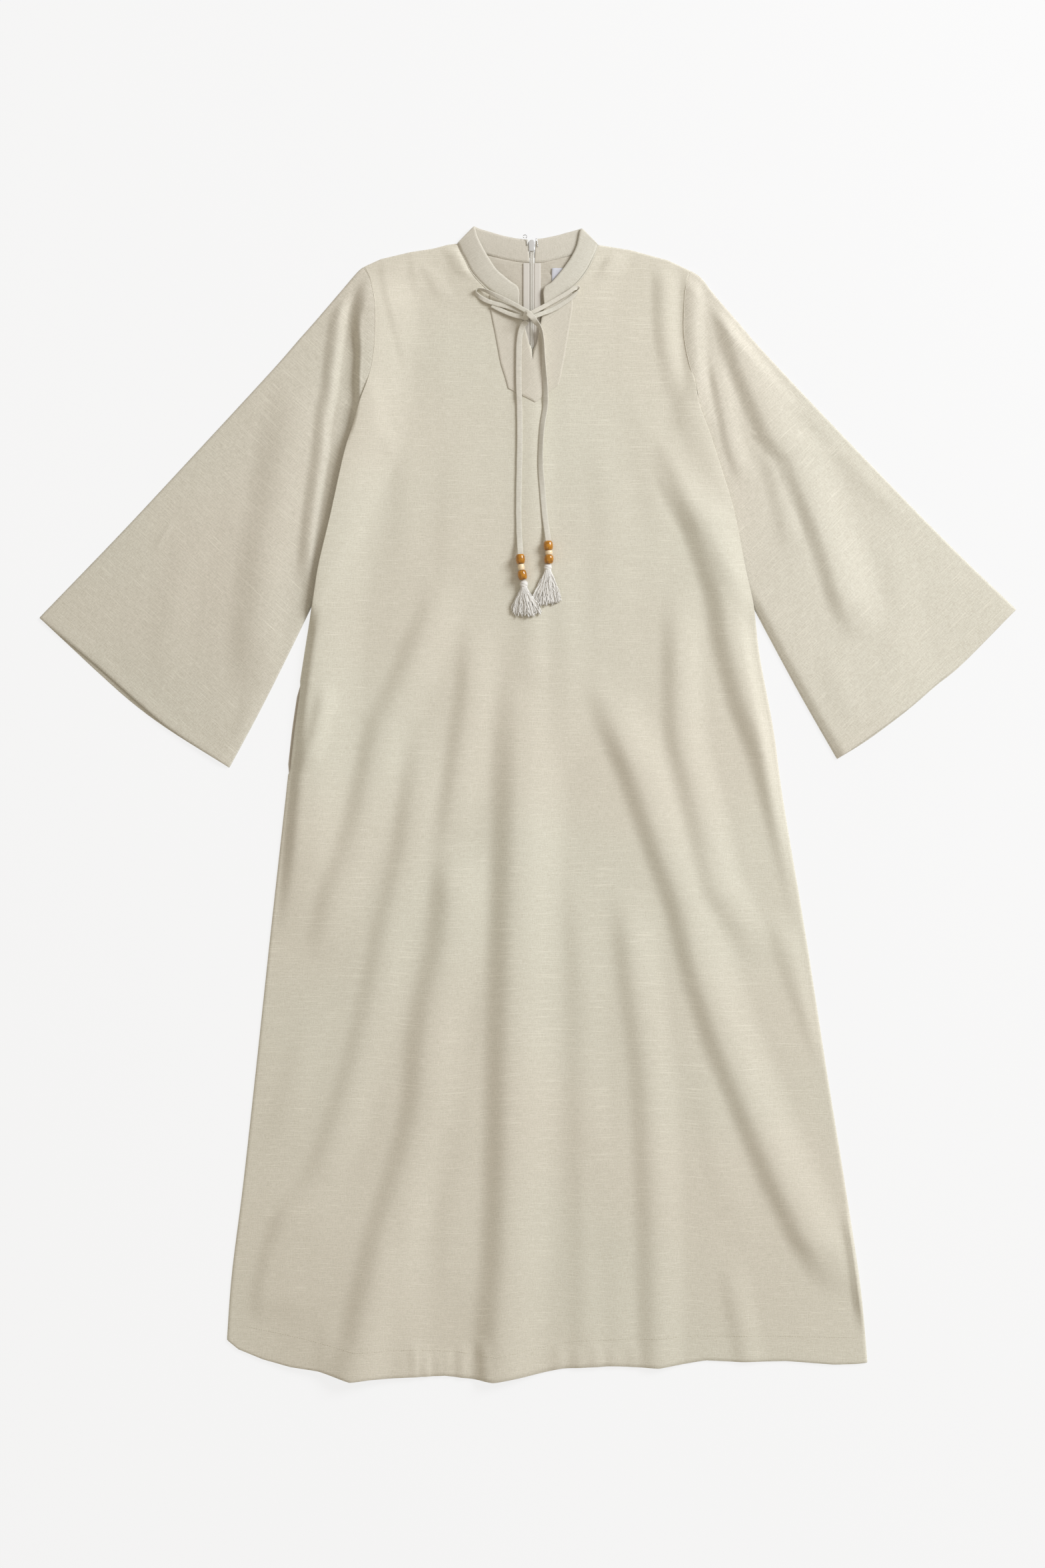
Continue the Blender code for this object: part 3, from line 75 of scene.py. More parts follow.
BEAD_HOLE = 0.0020
COIL_WIDE = 0.0050
COIL_THICK = 0.0016
ZIP_X = 798              # picture point of the zip's middle
COIL_TOP = 366           # picture point down where the coil starts, inside the slider
TAPE_TOP = 396.2         # and where the tapes start, at the collar seam
ZIP_END = 986
TAPE_WIDE = 0.0078
BACK_MID = CLOTH / 2
FRONT_MID = 1.5 * CLOTH + SEAM
LIP_LOW = 0.0002         # the turned edge of the front ends this high
EDGE_INSET = 2.7         # the back's edge lies this many picture points inside the front's
ARMHOLE_GAP = 0.7        # the back keeps this many picture points from the armhole line
SLEEVE_GAP = 0.6         # and the sleeve this many on its own side
BIB_GAP = 0.0002         # between the front and the bib or a tassel
STITCH_OVER = 0.00012    # stitches lie this high on the cloth
WELT = 0.00022           # a stitched edge rises this much
ARMHOLE_ROLL = (0.00065, 0.00075)  # half width and half thickness of the armhole seam's rolled edge
NECK_ROLL = (0.00075, 0.00065)     # and of the neck seam's
NECK_X, NECK_Y = 799, 398          # picture point in the middle of the neck opening
ZIP_RIDGE = 0.0021       # the front rises this much over the zip
COLLAR_RISE = 0.0014     # and this much round the collar
HELD_FROM = 900          # picture points down, from where no fold stands on the side seams
SWAY = 0.0065            # the weft wanders this far on the skirt


def rows_of(wide, *numbers):
    """A table: the numbers in rows of this many."""
    return tuple(numbers[start:start + wide] for start in range(0, len(numbers), wide))


# Picture points. Each row is one station from neck to hem: inner edge, then outer edge.
FRONT_LEFT = rows_of(4,
    686.5, 366, 547, 400.5, 691.6, 380, 552, 410, 697.5, 391, 556.5, 421, 706, 408, 561, 440, 719, 424, 563.5, 462,
    733, 437, 564, 485, 750, 450, 563, 512, 765, 456.5, 559.5, 545, 777, 461.5, 551, 575, 785.5, 485, 541, 602,
    793, 514, 530, 640, 799, 538, 517, 682, 799, 640, 497, 772, 799, 760, 479, 848, 799, 880, 470, 904,
    799, 980, 458, 975, 799, 1090, 440.5, 1093, 799, 1200, 428.5, 1202, 799, 1400, 406.5, 1400,
    799, 1600, 385, 1600, 799, 1780, 365.5, 1775, 799, 1930, 348.5, 1910, 799, 2061, 341, 2009)
FRONT_RIGHT = rows_of(4,
    897.5, 368, 1035, 406.5, 892.5, 383, 1031, 417, 888, 393, 1029, 428, 880, 408, 1027.5, 446, 867, 425, 1026, 466,
    851, 438.5, 1025.5, 489, 836, 448.5, 1028, 518, 826, 455.5, 1033.5, 545, 817.5, 461.5, 1042, 573,
    811, 487, 1049, 609, 806, 514, 1063, 646, 799, 538, 1073.5, 678, 799, 640, 1100, 764, 799, 760, 1118, 854,
    799, 880, 1130.5, 911, 799, 980, 1139.5, 985, 799, 1090, 1160, 1095, 799, 1200, 1174.5, 1200,
    799, 1400, 1208, 1400, 799, 1600, 1239, 1600, 799, 1780, 1268, 1780, 799, 1930, 1290.5, 1930,
    799, 2061, 1301, 2043)
FRONT_TIP = 11           # station at the tip of the slit
BIB_TIP = 6
SIDE_START = 14          # station where the front edge leaves the sleeve and the side seam starts

SHOULDER_LEFT = rows_of(2, 547, 400.5, 572, 389.2, 616, 378.8, 650, 373.6, 672, 367.8, 686.5, 366)
SHOULDER_RIGHT = rows_of(2, 897.5, 368, 909, 369.8, 947, 376, 972, 383, 1002, 391, 1035, 406.5)
HEM = rows_of(2,
    341, 2009, 358, 2023, 395, 2038, 436, 2049, 479, 2055, 526, 2070, 552, 2067, 605, 2065, 668, 2062.5,
    711, 2067.5, 741, 2071.5, 784, 2064, 841, 2052, 920, 2048, 989, 2051, 1058, 2039.5, 1110, 2042, 1179, 2040.5,
    1251, 2046, 1286, 2045, 1301, 2043)

# Points of the armhole that the back panel follows, as shares of its length
BACK_LAYER = (0.006, 0.2, 0.4, 0.6, 0.8, 0.994)

# Sleeve outlines. top: shoulder to cuff; under: armpit to cuff; cap: shoulder to armpit, on each layer.
SLEEVE_LEFT = {
    "top": rows_of(2,
        545.9, 401.4, 536, 410, 512, 438, 476, 480, 449.5, 510, 402, 564, 258.5, 719, 176, 807, 60, 927),
    "under": rows_of(2, 578, 672, 524, 788, 470, 904, 400, 1046, 344, 1151),
    "cuff": rows_of(2, 60, 927, 106, 965, 152.5, 1004, 203, 1049, 256, 1093, 344, 1151),
    "cuff_back": rows_of(2, 60, 927, 104, 968, 148, 1009, 200, 1055, 256, 1096, 344, 1151),
    "cap": rows_of(2,
        545.9, 401.4, 551.4, 410.2, 555.6, 419.2, 562, 447, 564, 474, 563, 512, 559, 547, 551.5, 575, 546, 597,
        548, 620, 560, 648, 578, 672),
    "cap_back": rows_of(2,
        545.9, 401.4, 551.4, 411, 556, 430, 563, 474, 563, 520, 560, 560, 560, 600, 565, 640, 578, 672),
    "outward": -1,
    "weft": -42.5,
    "seam": 0.66,
    "air": 0.0012,
}
SLEEVE_RIGHT = {
    "top": rows_of(2,
        1036.2, 407.3, 1052, 418, 1069, 440, 1108.5, 486, 1155, 539, 1288.5, 679.5, 1426, 820, 1524, 914.5),
    "under": rows_of(2, 1006, 672, 1068, 791, 1130.5, 911, 1196, 1033, 1256, 1138),
    "cuff": rows_of(2, 1524, 914.5, 1441.5, 995, 1403.5, 1026, 1358, 1065, 1299, 1108, 1256, 1138),
    "cuff_back": rows_of(2, 1524, 914.5, 1443, 996.5, 1404, 1028.5, 1358, 1068, 1299, 1112, 1254, 1140),
    "cap": rows_of(2,
        1036.2, 407.3, 1031.8, 416.6, 1029.6, 427.6, 1027.2, 446, 1025.5, 489, 1028, 518, 1033.5, 545, 1041.5, 573,
        1046, 595, 1044, 618, 1030, 645, 1006, 672),
    "cap_back": rows_of(2,
        1036.8, 408, 1029, 430, 1025.5, 474, 1026, 520, 1029, 560, 1028, 600, 1022, 640, 1006, 672),
    "outward": 1,
    "weft": 44.2,
    "seam": 0.6,
    "air": 0.0036,
}
# Rows of the back panel end at these shares of the armhole: first those from the collar's back seam, then
# those from the centre back at LIFT_ROWS, in picture points down.
NECK_TO_ARMHOLE = (0.012, 0.1, 0.2, 0.3, 0.4, 0.5, 0.6, 0.65)
LIFT_TO_ARMHOLE = (0.7, 0.75, 0.8, 0.84, 0.88, 0.92, 0.95, 0.98)
LIFT_ROWS = (410, 424, 440, 456, 472, 490, 520, 570)
# Then the rows that end at the underarm: picture points down the centre back, share of the underarm edge.
UNDERARM_ROWS = rows_of(2, 640, 0.004, 720, 0.16, 800, 0.33, 875, 0.48)
NECK_GAP = 0.8           # the back's neck edge lies this many picture points under the collar's
COLLAR_BACK = 10         # row of the collar tables where its back half starts
BACK_SIDE_ROWS = 10
POCKET_TOP = 1022        # picture points down where the left pocket's slit starts
POCKET_FOOT = 1163       # and ends
# Where the body lies over each sleeve, below the armpit
TUCK_LEFT = rows_of(2, 549, 582, 537, 623, 517, 682, 497, 772, 470, 904, 578, 672, 562, 645)
TUCK_RIGHT = rows_of(2, 1043, 580, 1049, 609, 1073.5, 678, 1100, 764, 1130.5, 911, 1006, 672, 1028, 645)


def ridge(high, left, right, start, end, *crest):
    """A fold: its height in metres, widths of its flanks, fades at its ends, and its crest down the picture."""
    return {"high": high, "left": left, "right": right, "start": start, "end": end, "crest": rows_of(2, *crest)}


BODY_FOLDS = (
    ridge(0.0104, 46, 80, 330, 0, 779, 930, 778, 1150, 774, 1313, 771, 1400, 768, 1500, 766, 1600, 765, 1700,
          763, 1800, 759, 1900, 753, 1960, 748, 2075),
    ridge(0.0046, 30, 50, 110, 110, 712, 920, 706, 1033, 697, 1100, 686, 1176, 674, 1235, 666, 1310),
    ridge(0.0076, 40, 66, 100, 0, 679, 1250, 678, 1350, 670, 1420, 652, 1500, 641, 1566, 634, 1654, 617, 1730,
          596, 1800, 577, 1860, 563, 1920, 546, 1990, 526, 2075),
    ridge(0.0056, 34, 52, 110, 120, 674, 850, 648, 930, 629, 970, 611, 1016, 578, 1084, 557, 1165, 540, 1236,
          514, 1313, 492, 1390, 476, 1460),
    ridge(0.0044, 32, 50, 180, 200, 637, 1060, 623, 1203, 609, 1291, 583, 1390, 562, 1500, 537, 1599, 505, 1698,
          480, 1764, 440, 1830, 407, 1892),
    ridge(0.0078, 36, 66, 140, 110, 898, 1000, 925, 1085, 958, 1165, 993, 1269, 1025, 1357, 1047, 1445, 1078, 1544,
          1121, 1654, 1167, 1764, 1208, 1850, 1241, 1908, 1270, 1955),
    ridge(0.0054, 32, 46, 140, 130, 1017, 860, 1018, 1016, 1021, 1104, 1036, 1170, 1053, 1236, 1075, 1324,
          1108, 1390, 1142, 1456),
    ridge(0.0084, 36, 52, 150, 330, 996, 640, 1018, 720, 1052, 790, 1082, 880, 1099, 970, 1120, 1050, 1147, 1120,
          1168, 1190, 1192, 1280, 1218, 1390, 1238, 1500),
    ridge(0.005, 34, 50, 110, 0, 942, 1320, 950, 1445, 966, 1566, 974, 1654, 980, 1786, 984, 1940, 984, 2075),
    ridge(0.0034, 16, 26, 40, 40, 492, 1020, 475, 1100, 457, 1165),
    ridge(0.0026, 26, 40, 60, 60, 1163, 1360, 1194, 1467, 1227, 1555, 1251, 1620),
    ridge(0.002, 30, 42, 160, 0, 866, 1280, 874, 1500, 876, 1700, 878, 1900, 880, 2075),
    ridge(0.0016, 30, 36, 60, 0, 500, 1960, 496, 2075),
    ridge(0.0018, 8, 12, 22, 0, 620, 2008, 623, 2075),
    ridge(0.0022, 9, 12, 22, 0, 637, 2016, 640, 2075),
    ridge(0.0014, 7, 9, 16, 0, 656, 2022, 659, 2075),
    ridge(0.0012, 7, 12, 16, 0, 669, 2018, 672, 2075),
    ridge(0.0018, 10, 16, 18, 0, 694, 2014, 692, 2075),
    ridge(0.002, 12, 16, 24, 0, 724, 2002, 729, 2075),
    ridge(0.0012, 10, 13, 18, 0, 838, 2012, 836, 2075),
    ridge(0.001, 9, 12, 16, 0, 866, 2018, 868, 2075),
    ridge(0.0012, 10, 13, 16, 0, 893, 2010, 897, 2075),
    ridge(0.001, 9, 12, 16, 0, 921, 2018, 920, 2075),
    ridge(0.0012, 10, 14, 18, 0, 948, 2008, 952, 2075),
    ridge(0.0024, 24, 34, 90, 0, 1092, 1870, 1124, 2075),
    ridge(0.003, 22, 26, 40, 110, 996, 390, 996, 450, 998, 500, 1004, 540, 1012, 580, 1022, 620),
    ridge(0.0013, 14, 44, 40, 60, 580, 378, 580, 420, 592, 470, 604, 520, 610, 560),
    ridge(0.0008, 14, 24, 30, 40, 622, 370, 624, 420, 630, 450),
    ridge(0.001, 34, 40, 90, 100, 600, 620, 612, 760, 600, 900),
    ridge(0.0008, 30, 40, 90, 90, 690, 640, 681, 780, 672, 900),
    ridge(0.001, 36, 40, 90, 110, 900, 640, 914, 800, 905, 960),
    ridge(0.001, 34, 40, 90, 90, 958, 560, 975, 700, 990, 830),
    ridge(0.0012, 32, 40, 110, 110, 842, 780, 848, 960, 852, 1180),
    ridge(0.0012, 34, 44, 120, 110, 700, 1540, 684, 1780, 676, 1990),
    ridge(0.0023, 14, 30, 16, 26, 924, 376, 913, 400, 898, 428),
    ridge(0.0021, 22, 9, 14, 18, 680, 368, 691, 396, 703, 422),
    ridge(0.0065, 170, 130, 200, 0, 617, 1730, 596, 1800, 577, 1860, 563, 1920, 546, 1990, 526, 2075),
    ridge(0.001, 16, 22, 20, 30, 640, 392, 655, 430, 672, 462),
    ridge(0.0034, 26, 110, 70, 50, 460, 1765, 431, 1825, 410, 1885, 397, 1950, 394, 1990),
    ridge(0.0012, 34, 44, 120, 110, 1050, 1560, 1078, 1740, 1108, 1880),
    ridge(0.0014, 30, 40, 110, 0, 626, 1740, 612, 1900, 608, 2075),
    ridge(0.0011, 30, 40, 110, 0, 908, 1650, 918, 1850, 926, 2075),
    ridge(0.0014, 32, 40, 110, 110, 470, 1500, 438, 1640, 410, 1760),
)
# The cloth stands in a ridge along each armhole, and the body's edge keeps it where it lies on the sleeve.
CAP_LEFT = ridge(0.0096, 24, 84, 60, 190, 554, 405, 553, 440, 547, 480, 545, 520, 543, 560, 541, 605, 534, 640,
                 519, 680, 505, 740, 493, 790, 481, 850, 473, 910, 468, 960, 464, 1040, 459, 1130, 451, 1220,
                 441, 1320, 428, 1430)
CAP_LEFT["pinch"] = (480, 690, 11)  # narrower on its left from here to here, to this width
CAPS_RIGHT = (
    ridge(0.0034, 23, 22, 40, 70, 1043, 398, 1041, 440, 1040, 490, 1042, 530, 1046, 575, 1052, 620),
    ridge(0.0028, 42, 34, 70, 110, 1026, 540, 1040, 600, 1056, 655, 1077, 730, 1093, 800, 1107, 870, 1121, 960),
)
SLEEVE_FOLDS = (
    ridge(0.0046, 20, 13, 40, 80, 521, 425, 512, 460, 507, 500, 502, 540, 496, 590, 488, 630, 483, 680, 477, 720,
          470, 770, 463, 830, 457, 895),
    ridge(0.005, 50, 56, 120, 110, 458, 540, 437, 640, 422, 710, 412, 770, 401, 830, 394, 880, 387, 940, 384, 1000,
          388, 1060),
    ridge(0.002, 26, 30, 40, 40, 392, 1030, 378, 1075, 364, 1120),
    ridge(0.0018, 8, 7, 40, 70, 541, 462, 539, 510, 538, 560, 535, 610, 524, 670),
    ridge(0.0062, 29, 64, 50, 90, 1086, 436, 1099, 500, 1115, 550, 1136, 600, 1157, 650, 1184, 684, 1204, 730,
          1229, 790, 1249, 850, 1264, 900, 1291, 975),
    ridge(0.0026, 16, 26, 60, 60, 1070, 520, 1084, 606, 1097, 668, 1118, 740),
    ridge(0.0022, 24, 26, 50, 50, 1150, 655, 1175, 760, 1184, 830),
    ridge(0.0014, 34, 24, 60, 70, 1188, 570, 1255, 650, 1315, 730, 1376, 800),
    ridge(0.001, 40, 40, 70, 70, 300, 780, 262, 900, 246, 1040),
    ridge(0.001, 40, 40, 70, 70, 1330, 780, 1352, 900, 1342, 1040),
    ridge(0.0009, 30, 36, 60, 60, 1240, 960, 1262, 1040, 1290, 1110),
)

# Collar stations from the front end round the side to the back end: neck edge, free edge, and their heights.
COLLAR_LEFT = rows_of(6,
    777.5, 460.5, 779, 441, 0.0078, 0.008, 766, 455.8, 776, 431.5, 0.0074, 0.008,
    751, 448.9, 766, 424, 0.0071, 0.0078, 733.8, 436, 755, 415, 0.0067, 0.0076, 720, 423, 744, 405, 0.0062, 0.0078,
    707.2, 407.4, 732, 387, 0.0057, 0.0081, 698.7, 390.4, 723, 371, 0.005, 0.0078,
    692.8, 379.6, 716, 356, 0.0044, 0.0072, 688.2, 368, 712.5, 343.5, 0.0041, 0.0064,
    686.8, 366.4, 711.5, 341.2, 0.004, 0.0052, 689.8, 367, 713.5, 341.5, 0.0026, 0.0034,
    702, 372.5, 720, 344.5, 0.0028, 0.0034, 718, 379, 730, 347.5, 0.0032, 0.0036,
    736, 384, 743, 351.5, 0.0036, 0.004, 754, 389, 758.5, 355.8, 0.0042, 0.0044,
    775, 393, 777.5, 359.5, 0.0048, 0.0048, 794.2, 394.8, 792, 361, 0.005, 0.005)
COLLAR_RIGHT = rows_of(6,
    816.9, 460.5, 815.2, 440.5, 0.0078, 0.0088, 826, 454.6, 817.5, 432.5, 0.0074, 0.0094,
    835.2, 447.4, 827.5, 425.5, 0.0071, 0.0094, 850.2, 437.4, 837, 415, 0.0067, 0.009,
    866, 424, 844, 406.5, 0.0062, 0.0086, 878.8, 407.4, 850.5, 397.5, 0.0057, 0.0082,
    886.8, 392.4, 858, 386, 0.005, 0.0078, 891.3, 382.5, 865.5, 370, 0.0044, 0.0072,
    895.8, 370, 870.5, 347.5, 0.0041, 0.0064, 897, 368.4, 873, 344.5, 0.004, 0.0052,
    894.2, 369, 871, 344.5, 0.0026, 0.0034, 883, 374.5, 861, 347.5, 0.0028, 0.0034,
    868, 380.5, 848, 351, 0.0032, 0.0036, 850, 385.5, 838, 354, 0.0036, 0.004, 833, 390, 827, 356.5, 0.0042, 0.0044,
    816, 394, 815, 359, 0.0048, 0.0048, 802.4, 394.8, 804.2, 360, 0.005, 0.005)

# Bib stations from neck to point: inner edge, then outer edge.
BIB_LEFT = rows_of(4,
    739, 442.8, 735, 444, 752, 451.8, 735.8, 461, 766, 457.6, 739, 480, 777.2, 463, 743.5, 502,
    785.8, 486, 747.5, 524, 793.2, 514, 751.5, 545, 799, 540, 757, 563, 800.5, 570, 760, 573, 803, 604, 762.6, 583)
BIB_RIGHT = rows_of(4,
    846, 443.2, 858.5, 441, 836, 450, 858.8, 459, 826.5, 457, 857, 476, 817.4, 463, 853.5, 497,
    810.8, 488, 849.8, 519, 805.8, 514, 846.5, 539, 799, 540, 843, 556, 800.5, 570, 841, 567, 803, 604, 838, 577.5)

# Ties. Each row is one point: across, down, height over the cloth, roll in degrees from flat.
TIE_TAIL_LEFT = rows_of(4,
    790.5, 484.5, 0.0036, 20, 785, 490, 0.0026, 15, 781.3, 499, 0.0016, 6, 779.2, 512, 0.001, 0,
    778.4, 535, 0.0009, 0, 778.3, 575, 0.0009, 0, 779.4, 610, 0.0009, 0, 779.9, 650, 0.0009, 0,
    779.4, 690, 0.0009, 0, 778.6, 730, 0.0009, 0, 778.2, 765, 0.0009, 0, 778.8, 795, 0.0012, 0,
    779.8, 815, 0.0028, 0, 780.5, 827, 0.0052, 0, 780.9, 839.5, 0.006, 0, 782.1, 851.6, 0.0058, 0,
    783.8, 863.4, 0.0056, 0, 785.4, 870.6, 0.005, 0)
TIE_TAIL_RIGHT = rows_of(4,
    801.5, 483, 0.0036, -20, 807, 489, 0.0034, -45, 811.5, 497, 0.0032, -62, 814.2, 508, 0.0031, -70,
    815.4, 524, 0.003, -66, 816.4, 550, 0.0028, -52, 818.6, 585, 0.0022, -30, 818, 612, 0.002, -24,
    814.2, 636, 0.002, -26, 811.6, 665, 0.0021, -30, 811.2, 700, 0.0018, -20, 813.6, 731, 0.0012, -8,
    816.2, 762, 0.001, 0, 818.8, 785, 0.0016, 0, 820.8, 799, 0.0034, 0, 822, 808, 0.0054, 0, 822.6, 819.4, 0.006, 0,
    823.6, 829.8, 0.0058, 0, 823.5, 839.7, 0.0056, 0, 822.8, 845.8, 0.005, 0)
TIE_LOOP_LEFT = rows_of(4,
    796, 476.5, 0.0046, 0, 787, 472.4, 0.0038, 0, 775, 467, 0.003, 0, 760, 461.6, 0.0022, 0, 745, 457.8, 0.0018, 0,
    733, 454, 0.0014, 0, 723, 448.8, 0.0012, 10, 714.6, 441.6, 0.0016, 60, 716.5, 435.4, 0.0022, 100,
    726, 437, 0.0028, 130, 738, 442.6, 0.0034, 150, 752, 449.2, 0.0038, 165, 768, 457.2, 0.0044, 175,
    785, 467, 0.0056, 180, 796, 473.5, 0.006, 180)
TIE_LEAD_LEFT = rows_of(4,
    738, 459.6, 0.0012, 0, 749, 465.6, 0.0014, 0, 762, 471.6, 0.002, 0, 774.5, 475.8, 0.0026, 0,
    786, 478.4, 0.0032, 0)
TIE_LOOP_RIGHT = rows_of(4,
    793.5, 474.5, 0.0058, 0, 802.5, 469.6, 0.0052, 0, 815, 463, 0.0042, 0, 832, 453.4, 0.0036, 0,
    849, 443.4, 0.0032, 0, 862, 434.6, 0.0028, 0, 868, 434.4, 0.0022, -50, 864, 442, 0.0016, -120,
    853, 451.4, 0.0012, -165, 838, 461.4, 0.0012, -175, 826, 467.8, 0.0016, -180, 815, 472, 0.0024, -180,
    803, 476.6, 0.0034, -180, 794.5, 479.5, 0.004, -180)
TIE_KNOT = rows_of(4,
    787.8, 482.6, 0.0058, 0, 788.4, 477.6, 0.0078, 20, 791, 473.4, 0.01, 10, 796, 477.4, 0.0114, 0,
    800.6, 481.4, 0.0102, -10, 802.4, 484.6, 0.0084, -10)

# Bends of the hook: picture point, height over the collar's inside
HOOK_BENDS = rows_of(3,
    806.5, 372, 0, 806.2, 366, 0, 805.6, 361.5, 0, 804.4, 359.6, 0.0006, 804.4, 361.4, 0.0014, 804.9, 364, 0.0014)

# Beads down each tail: name, picture point, radius across the cord, half length along it.
BEADS = (
    ("bead_left_upper", 781, 839.5, 0.0056, 0.0058),
    ("bead_left_ring", 782.2, 851.6, 0.0040, 0.0037),
    ("bead_left_lower", 784, 863.5, 0.0056, 0.0058),
    ("bead_right_upper", 822.6, 819.4, 0.0058, 0.0057),
    ("bead_right_ring", 823.6, 829.8, 0.0044, 0.0028),
    ("bead_right_lower", 823.5, 839.6, 0.0057, 0.0053),
)
# Tassels: name, picture point of the head, its half sizes, left and right ends of the fan, and its foot.
TASSELS = (
    ("tassel_left", 786.2, 877, 5.8, 5.2, 768, 811, 925),
    ("tassel_right", 822, 851.6, 5.8, 5, 799.5, 841, 908),
)
TASSEL_DEEP = 0.0078     # a tassel's head, across the cloth
STRAND_RADIUS = 0.00060
STRAND_STEPS = 24

# Zip slider and pull tab, metres about the slider's middle
SLIDER_Y = 369.5         # picture point
SLIDER_MID = 0.0050      # height of the coil in the collar
TAB_HINGE_Y = 0.0004
TAB_HINGE_Z = 0.0015
TAB_LONG = 0.0150
TAB_WIDE = 0.0066
TAB_THICK = 0.0010
EYE_LOW, EYE_HIGH = -0.0046, -0.0005  # the tab's eye, from its hinge down
EYE_HALF = 0.0012
SLIDER_TOP, SLIDER_FOOT = 0.0066, -0.0068
SLIDER_WALL = 0.0010
SLIDER_ARCH = rows_of(2, -0.0024, 0.0009, -0.0019, 0.00055, 0.0004, 0.00045, 0.0027, 0.00055, 0.0032, 0.0009)
EYE_X, EYE_Y = 787.8, 356.6  # picture point of the eye that takes the hook
EYE_RADIUS = 2.6

# Short narrow creases: two ends in picture points, half width, and height in metres.
BACK_CREASES = rows_of(6,
    742, 388, 780, 428, 7, 0.0012, 756, 391, 781, 409, 5, 0.0008, 838, 394, 813, 432, 6, 0.0012,
    724, 386, 772, 452, 8, 0.001)
BODY_CREASES = rows_of(6,
    797.5, 612, 797.5, 730, 3, 0.0004, 1108, 1125, 1161, 1131, 4, 0.0006, 434, 1160, 447, 1167, 3, 0.001,
    455, 1016, 435, 1170, 9, 0.0013, 441, 1173, 451, 1185, 3, 0.0005, 1266, 1800, 1299, 2006, 11, 0.005,
    618, 2026, 638, 2059, 5, 0.0006, 684, 2033, 687, 2060, 4, 0.0006)
SLEEVE_CREASES = rows_of(6, 264, 780, 230, 826, 4.6, 0.0013)

# Sewn lines on the front
HEM_STITCH = rows_of(2,
    370, 1989, 453, 2006, 486, 2014, 532, 2026, 618, 2023, 685, 2026, 744, 2034, 840, 2014, 869, 2010, 989, 2007,
    1041, 2003, 1162, 2003, 1284, 2006)
BIB_STITCH_LEFT = rows_of(2,
    738.5, 463, 741.6, 480, 746.2, 502, 750.2, 524, 754.2, 545, 759.5, 562, 764.6, 580.5, 803, 601.2)
BIB_STITCH_RIGHT = rows_of(2,
    855.8, 463, 854.2, 476, 850.8, 497, 847, 519, 843.8, 539, 840.2, 556, 836, 575, 803, 601.2)

# Fineness of the meshes
CHEST_STEPS = 40         # rows of the front above the slit's tip
SKIRT_STEPS = 206        # and below it
HALF_COLUMNS = 76        # columns in each half of the front
# How the front's side edge turns down: picture points from the edge, share of the way down
EDGE_ROLL = ((0, 1), (0.2, 0.80), (0.45, 0.55), (1, 0.28), (2, 0.07), (4.6, 0))
BACK_STEPS = 5           # rows between two stations of the back
BACK_ACROSS = 30
SLEEVE_RINGS = 124
SLEEVE_FRONT = 92
SLEEVE_BACK = 20
COLLAR_STEPS = 170
COLLAR_ACROSS = 14
BIB_DOWN = 64
BIB_ACROSS = 18
BEAD_SIDES = 48
BEAD_RINGS = 22
COIL_PITCH = 0.0012
EDGE_THIN = 0.62         # a wall is this much thinner at its edge
EDGE_ROUND = 0.28        # and its rim stands out by this share of its thickness
# One stitch: share of its length, width and rise there, as shares of the thread
STITCH_ARCH = ((0, 0.45, -0.35), (0.16, 0.9, 0.18), (0.5, 1, 0.34), (0.84, 0.9, 0.18), (1, 0.45, -0.35))
FLOOR_REACH = 14
# Linen finishes: end of the name, tint, share of the slub threads, strength of the weave's grain
LINENS = (
    ("", (1, 1, 1), 1, 1.25),
    ("_collar", (0.93, 0.93, 0.955), 0.4, 1.1),
    ("_bib", (0.975, 0.97, 0.985), 0.4, 1.1),
    # painted shade: the back panels' linen is darker and pinker, for the shade they lie in under the collar and the
    # front
    ("_back_painted_shade", (0.845, 0.815, 0.82), 0.8, 1.1),
    # painted shade: the left sleeve's linen is darker than the right's, for light that falls off towards the left
    ("_sleeve_left", (0.95, 0.945, 0.95), 1.2, 1.8),
    ("_sleeve_right", (0.995, 0.99, 1), 1.2, 1.8),
)


# ---------------------------------------------------------------- lines and heights


def smooth(value):
    value = min(1, max(0, value))
    return value * value * (3 - 2 * value)


def place(across, down, height):
    return Vector(((across - MIDDLE_X) * PIXEL, (MIDDLE_Y - down) * PIXEL, height))


def blend(start, end, share):
    return start + (end - start) * share


def curve(points, t):
    """Where the smooth curve through four points stands between the second and the third."""
    return [b + 0.5 * t * (c - a + t * (2 * a - 5 * b + 4 * c - d + t * (3 * (b - c) + d - a)))
            for a, b, c, d in zip(*points)]


def through(table, position):
    """A smooth curve through the rows of a table, at a position counted in rows."""
    last = len(table) - 1
    index = min(int(position), last - 1)
    return curve([table[min(max(index + shift, 0), last)] for shift in (-1, 0, 1, 2)], position - index)


def between_rows(table, position):
    """As through, but on straight lines between the rows."""
    index = min(int(position), len(table) - 2)
    return [blend(a, b, position - index) for a, b in zip(table[index], table[index + 1])]


def half_row(table, position, tip):
    """Inner and outer ends of one row. Below the slit's tip the inner end keeps to the shared centre line."""
    row = through(table, position)
    if position > tip:
        row[:2] = between_rows(table, position)[:2]
    return row


def across_row(row, share):
    """A point between the inner and outer ends of a row."""
    return blend(row[0], row[2], share), blend(row[1], row[3], share)


def across_at(points, down):
    """Where a line of picture points that runs downwards stands across the picture, and its slope."""
    for index, ((x0, y0), (x1, y1)) in enumerate(zip(points, points[1:])):
        if down <= y1:
            return through(points, index + (down - y0) / (y1 - y0))[0], (x1 - x0) / (y1 - y0)


def down_at(points, across):
    for (x0, y0), (x1, y1) in zip(points, points[1:]):
        if across <= x1:
            return y0 + (y1 - y0) * max(0, across - x0) / (x1 - x0)
    return points[-1][1]


